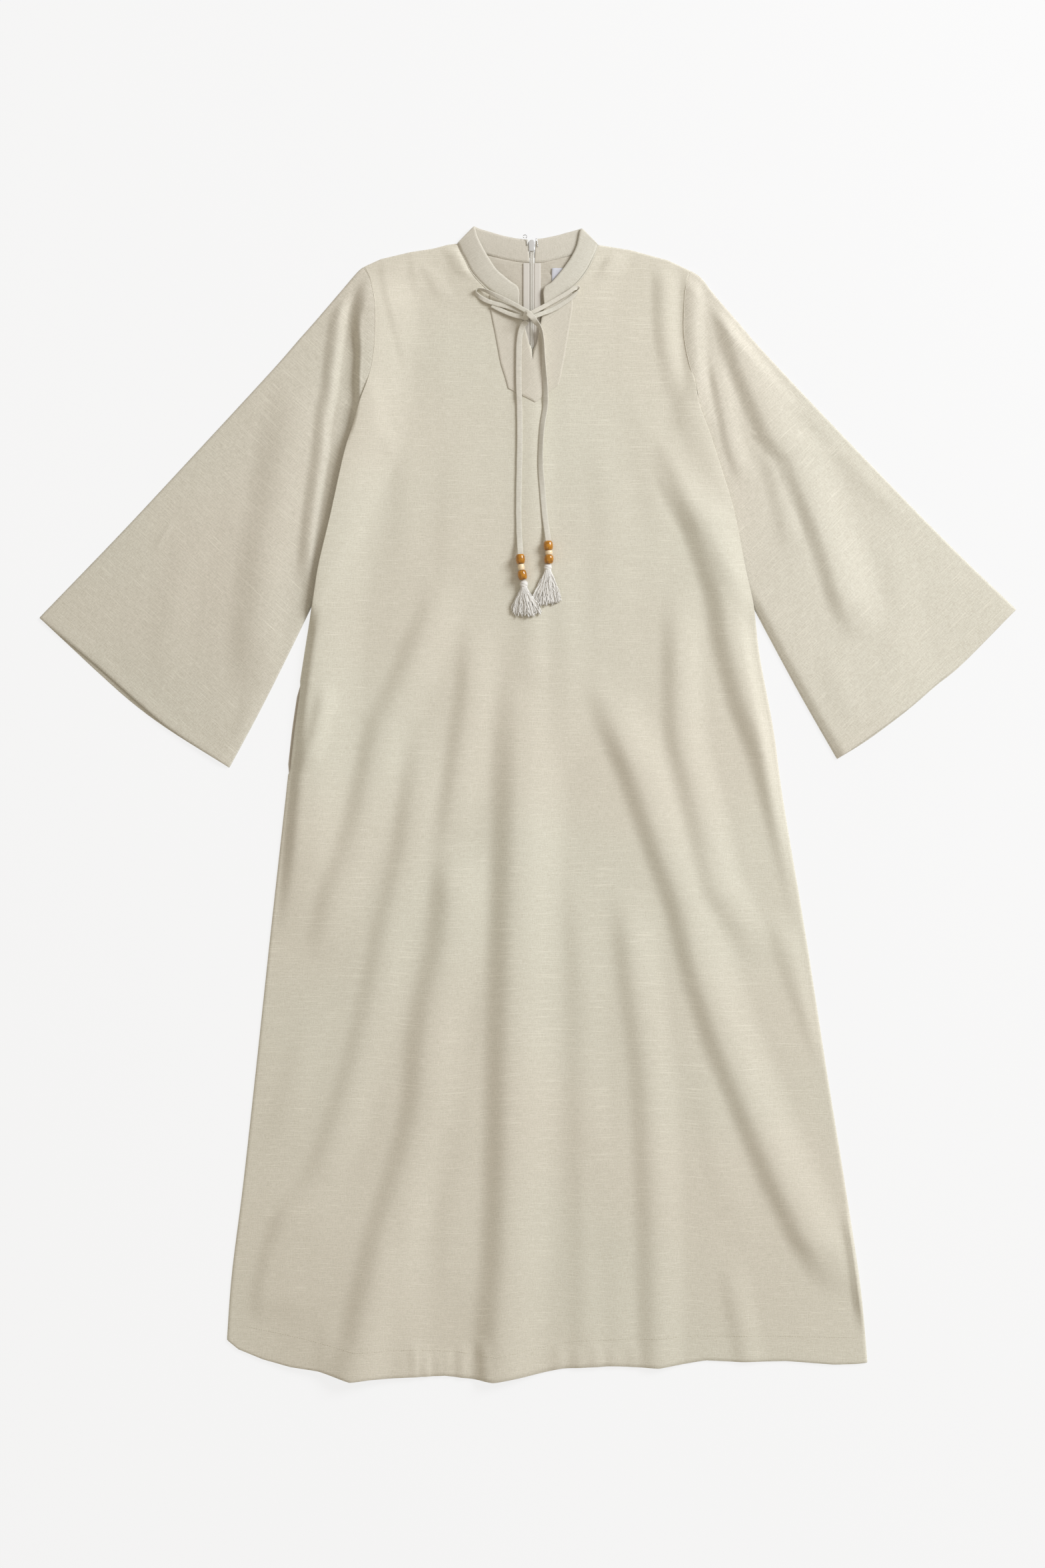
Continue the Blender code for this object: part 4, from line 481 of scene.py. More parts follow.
def even(points, fraction):
    """The point at this fraction of the length of a line of picture points."""
    steps = [math.dist(a, b) for a, b in zip(points, points[1:])]
    goal = fraction * sum(steps)
    for index, step in enumerate(steps):
        if goal <= step or index == len(steps) - 1:
            return through(points, index + min(1, goal / step))
        goal -= step


def straight(points, fraction):
    """As even, but with straight lines between the points."""
    steps = [math.dist(a, b) for a, b in zip(points, points[1:])]
    goal = fraction * sum(steps)
    for start, end, step in zip(points, points[1:], steps):
        if goal <= step:
            return [a + (b - a) * goal / step for a, b in zip(start, end)]
        goal -= step
    return points[-1]


def steps_of(count, last):
    return [last * index / count for index in range(count + 1)]


def hump(side, wide):
    """The cross-section of a fold: one at its crest, nothing at its edges."""
    return 0.5 * (1 + math.cos(math.pi * side / wide))


def fold_height(fold, across, down):
    crest = fold["crest"]
    first, last = crest[0][1], crest[-1][1]
    if down < first or down > last:
        return 0
    middle, slope = across_at(crest, down)
    side = (across - middle) / math.hypot(1, slope)
    wide = fold["left"] if side < 0 else fold["right"]
    if side < 0 and "pinch" in fold:
        top, foot, narrow = fold["pinch"]
        wide += (narrow - wide) * smooth((down - top) / 55) * smooth((foot - down) / 60)
    if abs(side) >= wide:
        return 0
    start = smooth((down - first) / fold["start"]) if fold["start"] else 1
    end = smooth((last - down) / fold["end"]) if fold["end"] else 1
    return fold["high"] * start * end * hump(side, wide)


def inside_distance(polygon, across, down):
    """Distance from a polygon of picture points, nothing inside it."""
    inside = False
    nearest = 1e9
    for index, (x0, y0) in enumerate(polygon):
        x1, y1 = polygon[(index + 1) % len(polygon)]
        if (y0 > down) != (y1 > down) and across < x0 + (x1 - x0) * (down - y0) / (y1 - y0):
            inside = not inside
        t = ((across - x0) * (x1 - x0) + (down - y0) * (y1 - y0)) / ((x1 - x0) ** 2 + (y1 - y0) ** 2)
        t = min(1, max(0, t))
        nearest = min(nearest, math.hypot(across - x0 - t * (x1 - x0), down - y0 - t * (y1 - y0)))
    return 0 if inside else nearest


def crease_height(crease, across, down):
    """A narrow ridge along a short line of picture points that may run in any direction."""
    x0, y0, x1, y1, wide, high = crease
    long = math.hypot(x1 - x0, y1 - y0)
    ahead = ((x1 - x0) / long, (y1 - y0) / long)
    along = (across - x0) * ahead[0] + (down - y0) * ahead[1]
    side = (across - x0) * -ahead[1] + (down - y0) * ahead[0]
    if along < 0 or along > long or abs(side) >= wide:
        return 0
    share = along / long
    return high * smooth(min(share, 1 - share) / 0.3) * hump(side, wide)


def crinkle(across, down, seed):
    """The soft unevenness of washed linen, never below nothing."""
    broad = noise.noise(Vector((across / 34, down / 110, seed)))
    small = noise.noise(Vector((across / 12, down / 24, seed + 4.3)))
    return 0.00022 * (broad + 1) + 0.00009 * (small + 1)


def neck_lift(across, down):
    away = math.hypot((across - NECK_X) * 0.8, down - NECK_Y)
    return BACK_LIFT * (1 - smooth((away - 24) / 96)) * smooth((down - 362) / 32)


def back_mid(across, down):
    folds = sum(crease_height(crease, across, down) for crease in BACK_CREASES) if down < 470 else 0
    return BACK_MID + neck_lift(across, down) + folds


def zip_ridge(across, down):
    fade = smooth((down - 400) / 30) * smooth((1040 - down) / 45)
    return ZIP_RIDGE * fade * math.exp(-(((across - ZIP_X) / 22) ** 2))


def tuck_distance(across, down):
    return min(inside_distance(TUCK_LEFT, across, down), inside_distance(TUCK_RIGHT, across, down))


def tuck(across, down):
    """The body lies over the sleeve here, so it starts one sleeve higher."""
    return (CLOTH + SEAM) * (1 - smooth((tuck_distance(across, down) - 3) / 26))


def pocket_open(down):
    """How far the slit of the left side pocket is open at this height, from 0 to 1."""
    return smooth((down - POCKET_TOP) / 14) * smooth((POCKET_FOOT - down) / 8)


def side_edge(down, table):
    for (*_, x0, y0), (*_, x1, y1) in zip(table, table[1:]):
        if down <= y1:
            return blend(x0, x1, max(0, down - y0) / (y1 - y0))
    return table[-1][2]


def cap_height(across, down):
    return fold_height(CAP_LEFT, across, down) + sum(fold_height(cap, across, down) for cap in CAPS_RIGHT)


def all_folds(folds, creases, across, down):
    """Height of these folds together, and of these creases."""
    relief = sum(fold_height(fold, across, down) for fold in folds)
    return relief, sum(crease_height(crease, across, down) for crease in creases)


def front_mid(across, down):
    """Height of the middle of the front panel's cloth."""
    relief, creases = all_folds(BODY_FOLDS, BODY_CREASES, across, down)
    cap = cap_height(across, down)
    if down > HELD_FROM:
        margin = min(across - side_edge(down, FRONT_LEFT), side_edge(down, FRONT_RIGHT) - across)
        held = smooth((down - HELD_FROM) / 60)
        relief *= 1 - held * (1 - smooth(margin / 24))
        cap *= 1 - held * (1 - smooth(margin / 14))
    relief += cap
    relief += creases
    collar_rise = COLLAR_RISE * (1 - smooth((math.hypot(across - 797, down - 420) - 60) / 90))
    neck = neck_lift(across, down) + smooth((down - 366) / 60) * collar_rise
    raised = zip_ridge(across, down) + tuck(across, down)
    return FRONT_MID + neck + raised + relief + crinkle(across, down, 3.7)


def sleeve_mid(across, down):
    relief, creases = all_folds(SLEEVE_FOLDS, SLEEVE_CREASES, across, down)
    relief += creases
    relief += crinkle(across, down, 11.2)
    if down > 575:
        relief *= smooth(tuck_distance(across, down) / 16)
    under_body = 1 - 0.72 * smooth((down - 585) / 70)
    return FRONT_MID + relief + under_body * cap_height(across, down)


def over_front(across, down):
    return front_mid(across, down) + CLOTH / 2 + SEAM


BIB_OUTLINE = [row[2:] for row in BIB_LEFT] + [BIB_LEFT[-1][:2]] + [row[2:] for row in BIB_RIGHT[::-1]]


def over_bib(across, down):
    near = inside_distance(BIB_OUTLINE, across, down)
    return over_front(across, down) + (SEAM + FACING) * (1 - smooth((near - 2) / 14))


# ---------------------------------------------------------------- building meshes


class Shape:
    """Points, faces and cloth grain of one piece. The grain is where a point lay on the cut cloth, in metres."""

    def __init__(self):
        self.points, self.grain, self.faces, self.known = [], [], [], {}

    def point(self, where, grain, share=False):
        """Adds a point. A shared one is used again by its neighbours."""
        if share:
            key = tuple(round(value * 50000) for value in where)
            if key in self.known:
                return self.known[key]
            self.known[key] = len(self.points)
        self.points.append(Vector(where))
        self.grain.append(grain)
        return len(self.points) - 1

    def grid(self, rows):
        """Rows of (point, grain) that become an open sheet, facing up as a whole."""
        index = [[self.point(where, grain, True) for where, grain in row] for row in rows]
        made = [(upper[column], lower[column], lower[column + 1], upper[column + 1])
                for upper, lower in zip(index, index[1:]) for column in range(len(upper) - 1)]
        area = sum(self.face_normal(face).z for face in made)
        self.faces += [face[::-1] for face in made] if area < 0 else made

    def tube(self, rings, grains=None, looped=False):
        """Rings joined round and along. The ends are closed by faces, or meet if it is a loop."""
        grains = grains or [[(0, 0, 0)] * len(ring) for ring in rings]
        index = [[self.point(where, at) for where, at in zip(ring, grain)] for ring, grain in zip(rings, grains)]
        made = []
        for first, second in zip(index, index[1:] + index[:1] * looped):
            for side in range(len(first)):
                after = (side + 1) % len(first)
                made.append((first[side], first[after], second[after], second[side]))
        if not looped:
            made += [tuple(index[0][::-1]), tuple(index[-1])]
        middle = self.points[made[0][0]]
        volume = 0
        for face in made:
            for second, third in zip(face[1:], face[2:]):
                a, b, c = (self.points[index] - middle for index in (face[0], second, third))
                volume += a.dot(b.cross(c))
        self.faces += [face[::-1] for face in made] if volume < 0 else made

    def face_normal(self, face):
        a, b, c, d = (self.points[index] for index in face)
        return (c - a).cross(d - b)

    def wall(self, thickness):
        """Turns the open sheet into a wall of this thickness, with rounded edges."""
        normals = [Vector() for _ in self.points]
        sides = {}
        for face in self.faces:
            normal = self.face_normal(face)
            for index in face:
                normals[index] += normal
            for pair in zip(face, face[1:] + face[:1]):
                sides[pair] = face
        edges = [pair for pair in sides if pair[::-1] not in sides]
        outward = {}
        for first, second in edges:
            run = self.points[second] - self.points[first]
            out = run.cross(normals[first].normalized()).normalized()
            for index in (first, second):
                outward[index] = outward.get(index, Vector()) + out
        base, count = self.points, len(self.points)
        reach = [normal.normalized() * (thickness / 2) * (EDGE_THIN if index in outward else 1)
                 for index, normal in enumerate(normals)]
        self.points = [where + up for where, up in zip(base, reach)] + [where - up for where, up in zip(base, reach)]
        self.grain = self.grain + self.grain
        rim = {}
        for index, out in outward.items():
            rim[index] = len(self.points)
            self.points.append(base[index] + out.normalized() * thickness * EDGE_ROUND)
            self.grain.append(self.grain[index])
        self.faces += [tuple(index + count for index in face[::-1]) for face in self.faces]
        for first, second in edges:
            self.faces.append((second, first, rim[first], rim[second]))
            self.faces.append((first + count, second + count, rim[second], rim[first]))

    def make(self, name, finish):
        data = bpy.data.meshes.new(name)
        data.from_pydata([tuple(where) for where in self.points], [], self.faces)
        grain = data.attributes.new("grain", "FLOAT_VECTOR", "POINT")
        grain.data.foreach_set("vector", [value for at in self.grain for value in at])
        data.shade_smooth()
        data.materials.append(bpy.data.materials[finish])
        data.update()
        made = bpy.data.objects.new(name, data)
        bpy.context.scene.collection.objects.link(made)
        return made


def settle(made, slot, *nodes, body="garment"):
    """The piece rides on a body and stands for these solids; the slot is not used."""
    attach(made, body)
    if nodes:
        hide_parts(*nodes)
    return made


def panel(rows, thickness, name, finish):
    """A cloth panel from its rows of (point, grain)."""
    shape = Shape()
    shape.grid(rows)
    shape.wall(thickness)
    return shape.make(name, finish)


def flat_side(ahead):
    return Vector((ahead.y, -ahead.x, 0)).normalized()


def frames_along(path):
    """Centre, flat side and upper side at each point of a path."""
    out = []
    for index, centre in enumerate(path):
        ahead = (path[min(index + 1, len(path) - 1)] - path[max(index - 1, 0)]).normalized()
        flat = flat_side(ahead)
        out.append((centre, flat, flat.cross(ahead).normalized()))
    return out


def round_ring(centre, flat, upper, wide, thick, sides, turn=0, squared=1):
    ring = []
    for side in range(sides):
        angle = 2 * math.pi * (side + 0.5) / sides + turn
        c, s = (math.copysign(abs(part) ** squared, part) for part in (math.cos(angle), math.sin(angle)))
        ring.append(centre + flat * wide * c + upper * thick * s)
    return ring


def lengths_along(path):
    out = [0]
    for before, after in zip(path, path[1:]):
        out.append(out[-1] + (after - before).length)
    return out


def sweep(shape, path, wide, thick, sides, layer=0):
    """A cord along a path, of this half width and half thickness."""
    rings = [round_ring(centre, flat, upper, wide, thick, sides) for centre, flat, upper in frames_along(path)]
    shape.tube(rings, [[(spot * 0.0005, far, layer) for spot in range(sides)] for far in lengths_along(path)])


def stitch_line(shape, path, long, gap, wide):
    """Small stitches along a path on the cloth, each sunk at both ends."""
    lengths = lengths_along(path)
    index = 0
    for stitch in range(max(1, int(lengths[-1] / (long + gap)))):
        rings = []
        for share, grow, rise in STITCH_ARCH:
            goal = stitch * (long + gap) + gap / 2 + long * share
            while index > 0 and lengths[index] > goal:
                index -= 1
            while index < len(path) - 2 and lengths[index + 1] < goal:
                index += 1
            t = (goal - lengths[index]) / max(1e-9, lengths[index + 1] - lengths[index])
            ahead = (path[index + 1] - path[index]).normalized()
            flat = flat_side(ahead)
            upper = flat.cross(ahead).normalized()
            centre = path[index].lerp(path[index + 1], t) + upper * wide * rise
            rings.append(round_ring(centre, flat, upper, wide * grow / 2, wide * grow / 2, 6))
        shape.tube(rings)


# ---------------------------------------------------------------- finishes


class Value:
    """One socket of a finish. Sums and products of values add the nodes that work them out."""

    def __init__(self, finish, socket):
        self.finish = finish
        self.socket = socket

    def maths(self, operation, *others):
        made = self.finish.node("ShaderNodeMath", {"operation": operation}, dict(enumerate((self, *others))))
        return Value(self.finish, made.outputs[0])

    def __add__(self, other):
        return self.maths("ADD", other)

    def __sub__(self, other):
        return self.maths("SUBTRACT", other)

    def __mul__(self, other):
        return self.maths("MULTIPLY", other)

    def between(self, low, high):
        """Nothing at low, one at high, smooth between them."""
        made = self.finish.node("ShaderNodeMapRange", {"interpolation_type": "SMOOTHSTEP"},
                                {"Value": self, "From Min": low, "From Max": high})
        return Value(self.finish, made.outputs[0])

    def wave(self):
        return self.maths("SINE")


class Finish:
    """One material. Its patterns follow the cloth's grain, or the ground for hard pieces."""

    def __init__(self, name, hard=False, **uniform):
        self.material = bpy.data.materials.new(name)
        self.material.use_nodes = True
        self.tree = self.material.node_tree
        self.shader = self.tree.nodes["Principled BSDF"]
        for socket, value in uniform.items():
            self.shader.inputs[socket.replace("_", " ")].default_value = value
        if hard:
            self.where = Value(self, self.node("ShaderNodeTexCoord").outputs["Object"])
        else:
            self.where = Value(self, self.node("ShaderNodeAttribute", {"attribute_name": "grain"}).outputs["Vector"])

    def node(self, kind, settings=None, sockets=None):
        made = self.tree.nodes.new(kind)
        for setting, value in (settings or {}).items():
            setattr(made, setting, value)
        for socket, value in (sockets or {}).items():
            if isinstance(value, Value):
                self.tree.links.new(value.socket, made.inputs[socket])
            else:
                made.inputs[socket].default_value = value
        return made

    def parts(self):
        made = self.node("ShaderNodeSeparateXYZ", None, {0: self.where})
        return [Value(self, made.outputs[axis]) for axis in range(3)]

    def cloud(self, scale, detail=2, roughness=0.5):
        spread = self.node("ShaderNodeVectorMath", {"operation": "MULTIPLY"}, {0: self.where, 1: scale})
        made = self.node("ShaderNodeTexNoise", None, {"Vector": Value(self, spread.outputs[0]), "Scale": 1,
                                                      "Detail": detail, "Roughness": roughness})
        return Value(self, made.outputs["Fac"])

    def mix(self, share, first, second):
        """Colours only."""
        first, second = (colour if isinstance(colour, Value) else (*colour, 1) for colour in (first, second))
        made = self.node("ShaderNodeMix", {"data_type": "RGBA"}, {0: share, 6: first, 7: second})
        return Value(self, made.outputs[2])

    def show(self, **sockets):
        for socket, value in sockets.items():
            self.tree.links.new(value.socket, self.shader.inputs[socket.replace("_", " ")])

    def raise_by(self, height, depth):
        made = self.node("ShaderNodeBump", None, {"Height": height, "Distance": depth, "Strength": 1})
        self.show(Normal=Value(self, made.outputs["Normal"]))


def shade(colour, *parts):
    """A colour times one number, or times one for each channel."""
    return tuple(channel * part for channel, part in zip(colour, parts * (4 - len(parts))))


def linen_finish(name, light, dark, slubs, weave=1, grit=1.25):
    """Plain-woven linen with slub threads, most of them along the weft."""
    made = Finish(name, Roughness=0.88, Sheen_Weight=0.12, Sheen_Roughness=0.5, Specular_IOR_Level=0.25)
    cloud = made.cloud
    weft, warp, _ = made.parts()
    patches = cloud((5, 6, 1))
    hatch = cloud((120, 1000, 1), 2, 0.65) + cloud((1050, 120, 1), 2, 0.65)
    # slub threads: thick and fine ones along the weft, upright ones along the warp, bold ones here and there
    thick = cloud((27, 1050, 1), 0).between(0.64, 0.78)
    fine = cloud((46, 1500, 7), 0).between(0.62, 0.78)
    upright = cloud((1300, 26, 3), 0).between(0.68, 0.82)
    bold = cloud((17, 560, 13), 0).between(0.66, 0.80) * cloud((1.6, 2.2, 21), 0).between(0.42, 0.60)
    speck = cloud((640, 640, 1), 2, 0.6)
    streak = cloud((7, 210, 5)) + cloud((16, 420, 6), 1)
    tone = (streak - 1) * 0.10 + (hatch - 1) * 0.95 * grit + (speck - 0.5) * 1.2 * grit
    tone = tone + (patches - 0.5) * 0.35 + 0.48
    drift = cloud((2.6, 3.4, 5), 1).between(0.35, 0.65)
    warm, cool = shade(light, 1.012, 0.985, 0.985), shade(light, 0.99, 1.008, 1.005)
    lifted = (thick * 0.38 + fine * 0.18 + upright * 0.20 + bold * 0.36) * slubs
    pale = tuple(min(1, channel * 1.13) for channel in light)
    made.show(Base_Color=made.mix(lifted, made.mix(tone, dark, made.mix(drift, warm, cool)), pale))
    turn = 2 * math.pi / 0.00084
    over = (weft * turn).wave() + (warp * turn).wave()
    made.raise_by(over * 0.10 * weave + hatch * 0.5 + (thick + fine + upright) * 0.35 + speck * 0.4, 0.00008)


def plain_cloth(name, light, dark, thread, rib=0):
    """Smooth woven tape or label cloth: fine threads both ways, ribbed along the tape where rib is given."""
    made = Finish(name, Roughness=0.8, Sheen_Weight=0.1)
    across, along, _ = made.parts()
    threads = made.cloud((1500, 260, 1), 1) * 0.5 + made.cloud((260, 1500, 1), 1) * 0.5
    made.show(Base_Color=made.mix(threads, dark, light))
    turn = 2 * math.pi / thread
    rows = (along * turn + (across * turn).wave() * rib).wave() * 0.5
    made.raise_by(rows * 0.4 + threads * 0.8, 0.00010)


def bead_finish(name, deep, bright, roughness, coat):
    made = Finish(name, True, Roughness=roughness, Coat_Weight=coat, Coat_Roughness=0.06, IOR=1.52)
    swirl = made.cloud((210, 190, 230), 3, 0.6)
    streak = made.cloud((700, 240, 500))
    made.show(Base_Color=made.mix((swirl * 0.7 + streak * 0.3).between(0.25, 0.62), deep, bright),
              Roughness=streak * 0.10 + (roughness - 0.05))
    made.raise_by(streak, 0.00004)


def metal_finish(name, light, dark, roughness, metallic):
    made = Finish(name, True, Roughness=roughness, Metallic=metallic)
    patches = made.cloud((420, 380, 400), 3)
    scuffs = made.cloud((2600, 300, 900))
    made.show(Base_Color=made.mix(patches * 0.6 + scuffs * 0.4, dark, light),
              Roughness=scuffs * 0.16 + (roughness - 0.08))
    made.raise_by(scuffs, 0.00002)


def yarn_finish(name, light, dark):
    """Loose two-ply yarn: the plies run slantwise round each strand."""
    made = Finish(name, Roughness=0.9, Sheen_Weight=0.25)
    round_it, along, _ = made.parts()
    ply = (along * (2 * math.pi / 0.0016) + round_it * 2).wave()
    fluff = made.cloud((3, 1400, 9))
    shadow = made.cloud((0.2, 30, 40), 1)
    made.show(Base_Color=made.mix((shadow * 0.7 + fluff * 0.5 + ply * 0.12).between(0.25, 0.8), dark, light))
    made.raise_by(ply * 0.4 + fluff, 0.00010)


def make_finishes(cloth, trim):
    for name, tint, slubs, grit in LINENS:
        linen_finish("slub_linen" + name, shade(cloth.light, *tint), shade(cloth.dark, *tint), cloth.slubs * slubs,
                     grit=grit)
    linen_finish("slub_linen_ties", cloth.tie_light, cloth.tie_dark, cloth.slubs * 0.3, 0.4)
    plain_cloth("linen_thread", cloth.light, cloth.dark, 0.0004)
    plain_cloth("label_cloth", trim.label, shade(trim.label, 0.93), 0.0005)
    plain_cloth("tape_cloth", shade(trim.tape, 1.1), trim.tape, 0.0009, 0.8)
    metal_finish("coil_nylon", trim.coil, shade(trim.coil, 0.85), 0.38, 0)
    metal_finish("slider_enamel", trim.slider, shade(trim.slider, 0.9), 0.30, 0.2)
    metal_finish("hook_steel", (0.55, 0.55, 0.54), (0.42, 0.42, 0.41), 0.28, 1)
    bead_finish("caramel_bead", trim.bead_deep, trim.bead_bright, 0.22, 0.5)
    bead_finish("cream_ring", shade(trim.ring, 0.86), trim.ring, 0.42, 0.2)
    yarn_finish("tassel_yarn", trim.yarn, shade(trim.yarn, 0.84))


# ---------------------------------------------------------------- cloth panels


def cloth_point(across, down, height, layer):
    """A point of a panel and its grain, square to the picture."""
    where = place(across, down, height)
    return where, (where.x, where.y, layer)


def row_at(table, down):
    """Position in a table whose inner points run straight down."""
    for index, (row, after) in enumerate(zip(table, table[1:])):
        if down <= after[1]:
            return index + (down - row[1]) / (after[1] - row[1])
    return len(table) - 1


def front_positions(table):
    chest = [FRONT_TIP * index / CHEST_STEPS for index in range(CHEST_STEPS)]
    top, foot = table[FRONT_TIP][1], table[-1][1]
    return chest + [row_at(table, top + (foot - top) * index / SKIRT_STEPS) for index in range(SKIRT_STEPS + 1)]


def off_level(edge, row, share, short=0):
    """How far the cut edge of the cloth lies below the straight line between a row's ends."""
    x, y = across_row(row, share)
    return down_at(edge, x) - short - y


def front_half(table, shoulder):
    """Rows from the centre line to the outer edge, with a lip that turns down at the seams."""
    columns = [index / HALF_COLUMNS for index in range(HALF_COLUMNS + 1)]
    drops = [drop for _, drop in EDGE_ROLL] + [0] * len(columns)
    rows = []
    for position in front_positions(table):
        ends = half_row(table, position, FRONT_TIP)
        slit = pocket_open(ends[3]) if table is FRONT_LEFT else 0
        ends[2] += 2.6 * slit
        side = smooth(position - SIDE_START) * (1 - 0.75 * slit)
        hem = smooth((position - (len(table) - 4)) / 3)
        top = smooth(1 - position / 3)
        width = math.hypot(ends[2] - ends[0], ends[3] - ends[1])
        start = 1 - (EDGE_ROLL[-1][0] + 0.8) / width
        shares = [1 - inset / width for inset, _ in EDGE_ROLL] + [start * (1 - column) for column in columns]
        row = []
        for drop, share in zip(drops, shares):
            x, y = across_row(ends, share)
            if top:
                y += top * off_level(shoulder, table[0], share)
            if hem:
                y += hem * off_level(HEM, table[-1], share)
            height = front_mid(x, y)
            where = place(x, y, height + (LIP_LOW - height) * drop * side)
            sway = noise.noise(Vector((where.x * 10, where.y * 2.2, 0.5)))
            row.append((where, (where.x, where.y + SWAY * smooth((y - 800) / 900) * sway, 0)))
        rows.append(row)
    # the top row turns down to the back panel
    turned, middle, inner = [], [], []
    for where, grain in rows[0]:
        turned.append((Vector((where.x, where.y, LIP_LOW)), grain))
        middle.append((Vector((where.x, where.y - 0.0003, LIP_LOW + (where.z - LIP_LOW) * 0.5)), grain))
        inner.append((where - Vector((0, 0.0015, 0)), grain))
    return [turned, middle, inner] + rows[1:]


def build_front():
    shape = Shape()
    for table, shoulder in ((FRONT_LEFT, SHOULDER_LEFT), (FRONT_RIGHT, SHOULDER_RIGHT)):
        shape.grid(front_half(table, shoulder))
    shape.wall(CLOTH)
    made = settle(shape.make("front_cloth", "slub_linen"), "linen", "front_panel")
    return made


def back_ends(table, sleeve_table, collar_table):
    """Ends of the back panel's rows: neck to armhole, then centre back to the underarm edge and the side."""
    sign = sleeve_table["outward"]
    centre = ZIP_X + sign * 0.5 * SEAM / PIXEL
    armhole = [even(sleeve_table["cap_back"], share) for share in BACK_LAYER]
    neck = [(row[0], row[1] + NECK_GAP) for row in collar_table[COLLAR_BACK:]]
    neck.append((centre, neck[-1][1] + 0.5))
    rows = []
    for (neck_x, neck_y), cap_share in zip(neck, NECK_TO_ARMHOLE):
        x, y = straight(armhole, cap_share)
        rows.append((neck_x, neck_y, x - sign * ARMHOLE_GAP, y + 0.5))
    for down, cap_share in zip(LIFT_ROWS, LIFT_TO_ARMHOLE):
        x, y = straight(armhole, cap_share)
        rows.append((centre, down, x - sign * ARMHOLE_GAP, y))
    for down, share in UNDERARM_ROWS:
        x, y = even(sleeve_table["under"], share)
        rows.append((centre, down, x - sign * EDGE_INSET, y + 1))
    for step in range(BACK_SIDE_ROWS + 1):
        position = SIDE_START + 0.2 + (len(table) - 1.2 - SIDE_START) * step / BACK_SIDE_ROWS
        _, _, outer_x, outer_y = through(table, position)
        rows.append((centre, outer_y, outer_x - sign * EDGE_INSET, outer_y))
    return rows


def build_back(name, node, table, sleeve_table, collar_table, layer):
    ends = back_ends(table, sleeve_table, collar_table)
    rows = []
    for step in range(BACK_STEPS * (len(ends) - 1) + 1):
        position = step / BACK_STEPS
        middle = between_rows(ends, position)
        if node == "back_left":
            middle[2] = blend(middle[2], side_edge(middle[3], FRONT_LEFT) - 1.6, pocket_open(middle[3]))
        hem = smooth((position - (len(ends) - 4)) / 3)
        row = []
        for column in range(BACK_ACROSS + 1):
            share = (column / BACK_ACROSS) ** 1.25
            x, y = across_row(middle, share)
            if hem:
                y += hem * off_level(HEM, ends[-1], share, 2)
            row.append(cloth_point(x, y, back_mid(x, y), layer))
        rows.append(row)
    # the back panels take the linen with painted shade
    made = settle(panel(rows, CLOTH, name, "slub_linen_back_painted_shade"), "linen", node)
    return made


def coons(cap, cuff, top, under, r, s):
    """A point of the patch between the cap, the cuff, the top edge and the underarm edge."""
    corners = cap[0], cap[-1], cuff[0], cuff[-1]
    start, end = even(cap, s), even(cuff, s)
    out = []
    for axis in (0, 1):
        between = (1 - r) * start[axis] + r * end[axis] + (1 - s) * top[axis] + s * under[axis]
        flat = (1 - r) * ((1 - s) * corners[0][axis] + s * corners[1][axis])
        flat += r * ((1 - s) * corners[2][axis] + s * corners[3][axis])
        out.append(between - flat)
    return out


def sleeve_spot(table, r, s):
    """Picture point and height of the upper layer: r runs from armhole to cuff, s from top edge to underarm."""
    x, y = coons(table["cap"], table["cuff"], even(table["top"], r), even(table["under"], r), r, s)
    x += table["outward"] * SLEEVE_GAP * (1 - r)
    rise = smooth(min(s, 1 - s) / 0.10) * (sleeve_mid(x, y) - FRONT_MID)
    air = table["air"] * smooth((1 - s) / 0.055) * smooth(1.5 - 2 * (1 - s)) * smooth((r - 0.40) / 0.14)
    hem = 0.0004 * smooth((r - 0.962) / 0.006) * smooth(min(s, 1 - s) / 0.06)
    return x, y, FRONT_MID + rise + air + hem


def build_sleeve(name, node, table, layer):
    """A flattened tube: upper layer, rounded top edge, lower layer and rounded underarm edge."""
    angle = math.radians(table["weft"])
    weft = (math.cos(angle), math.sin(angle))

    def point(x, y, height):
        where = place(x, y, height)
        return where, (where.x * weft[0] + where.y * weft[1], where.x * -weft[1] + where.y * weft[0], layer)

    shape = Shape()
    index = []
    for ring in range(SLEEVE_RINGS + 1):
        r = (ring / SLEEVE_RINGS) ** 1.35
        top, under = even(table["top"], r), even(table["under"], r)
        front = [point(*sleeve_spot(table, r, 0.006 + 0.988 * column / SLEEVE_FRONT))
                 for column in range(SLEEVE_FRONT + 1)]
        back = []
        for column in range(SLEEVE_BACK + 1):
            s = 0.006 + 0.988 * column / SLEEVE_BACK
            x, y = coons(table["cap_back"], table["cuff_back"], top, under, r, s)
            back.append(point(x + table["outward"] * SLEEVE_GAP * (1 - r), y, BACK_MID))
        between = (BACK_MID + FRONT_MID) / 2
        loop = [point(*top, between)] + front + [point(*under, between)] + back[::-1]
        index.append([shape.point(where, grain) for where, grain in loop])
    for upper, lower in zip(index, index[1:]):
        for column in range(len(upper)):
            after = (column + 1) % len(upper)
            shape.faces.append((upper[column], lower[column], lower[after], upper[after]))
    shape.wall(CLOTH)
    # the armhole seam's rolled edge
    spots = [sleeve_spot(table, 0, 0.004 + table["seam"] * step / 90) for step in range(91)]
    path = [place(x - table["outward"] * 0.5, y, z + 0.0001) for x, y, z in spots]
    sweep(shape, path, *ARMHOLE_ROLL, 10, layer)
    # each sleeve takes its own copy of the linen; the left one is darker, as painted shade
    made = settle(shape.make(name, "slub_linen_" + node), "linen", node)
    return made


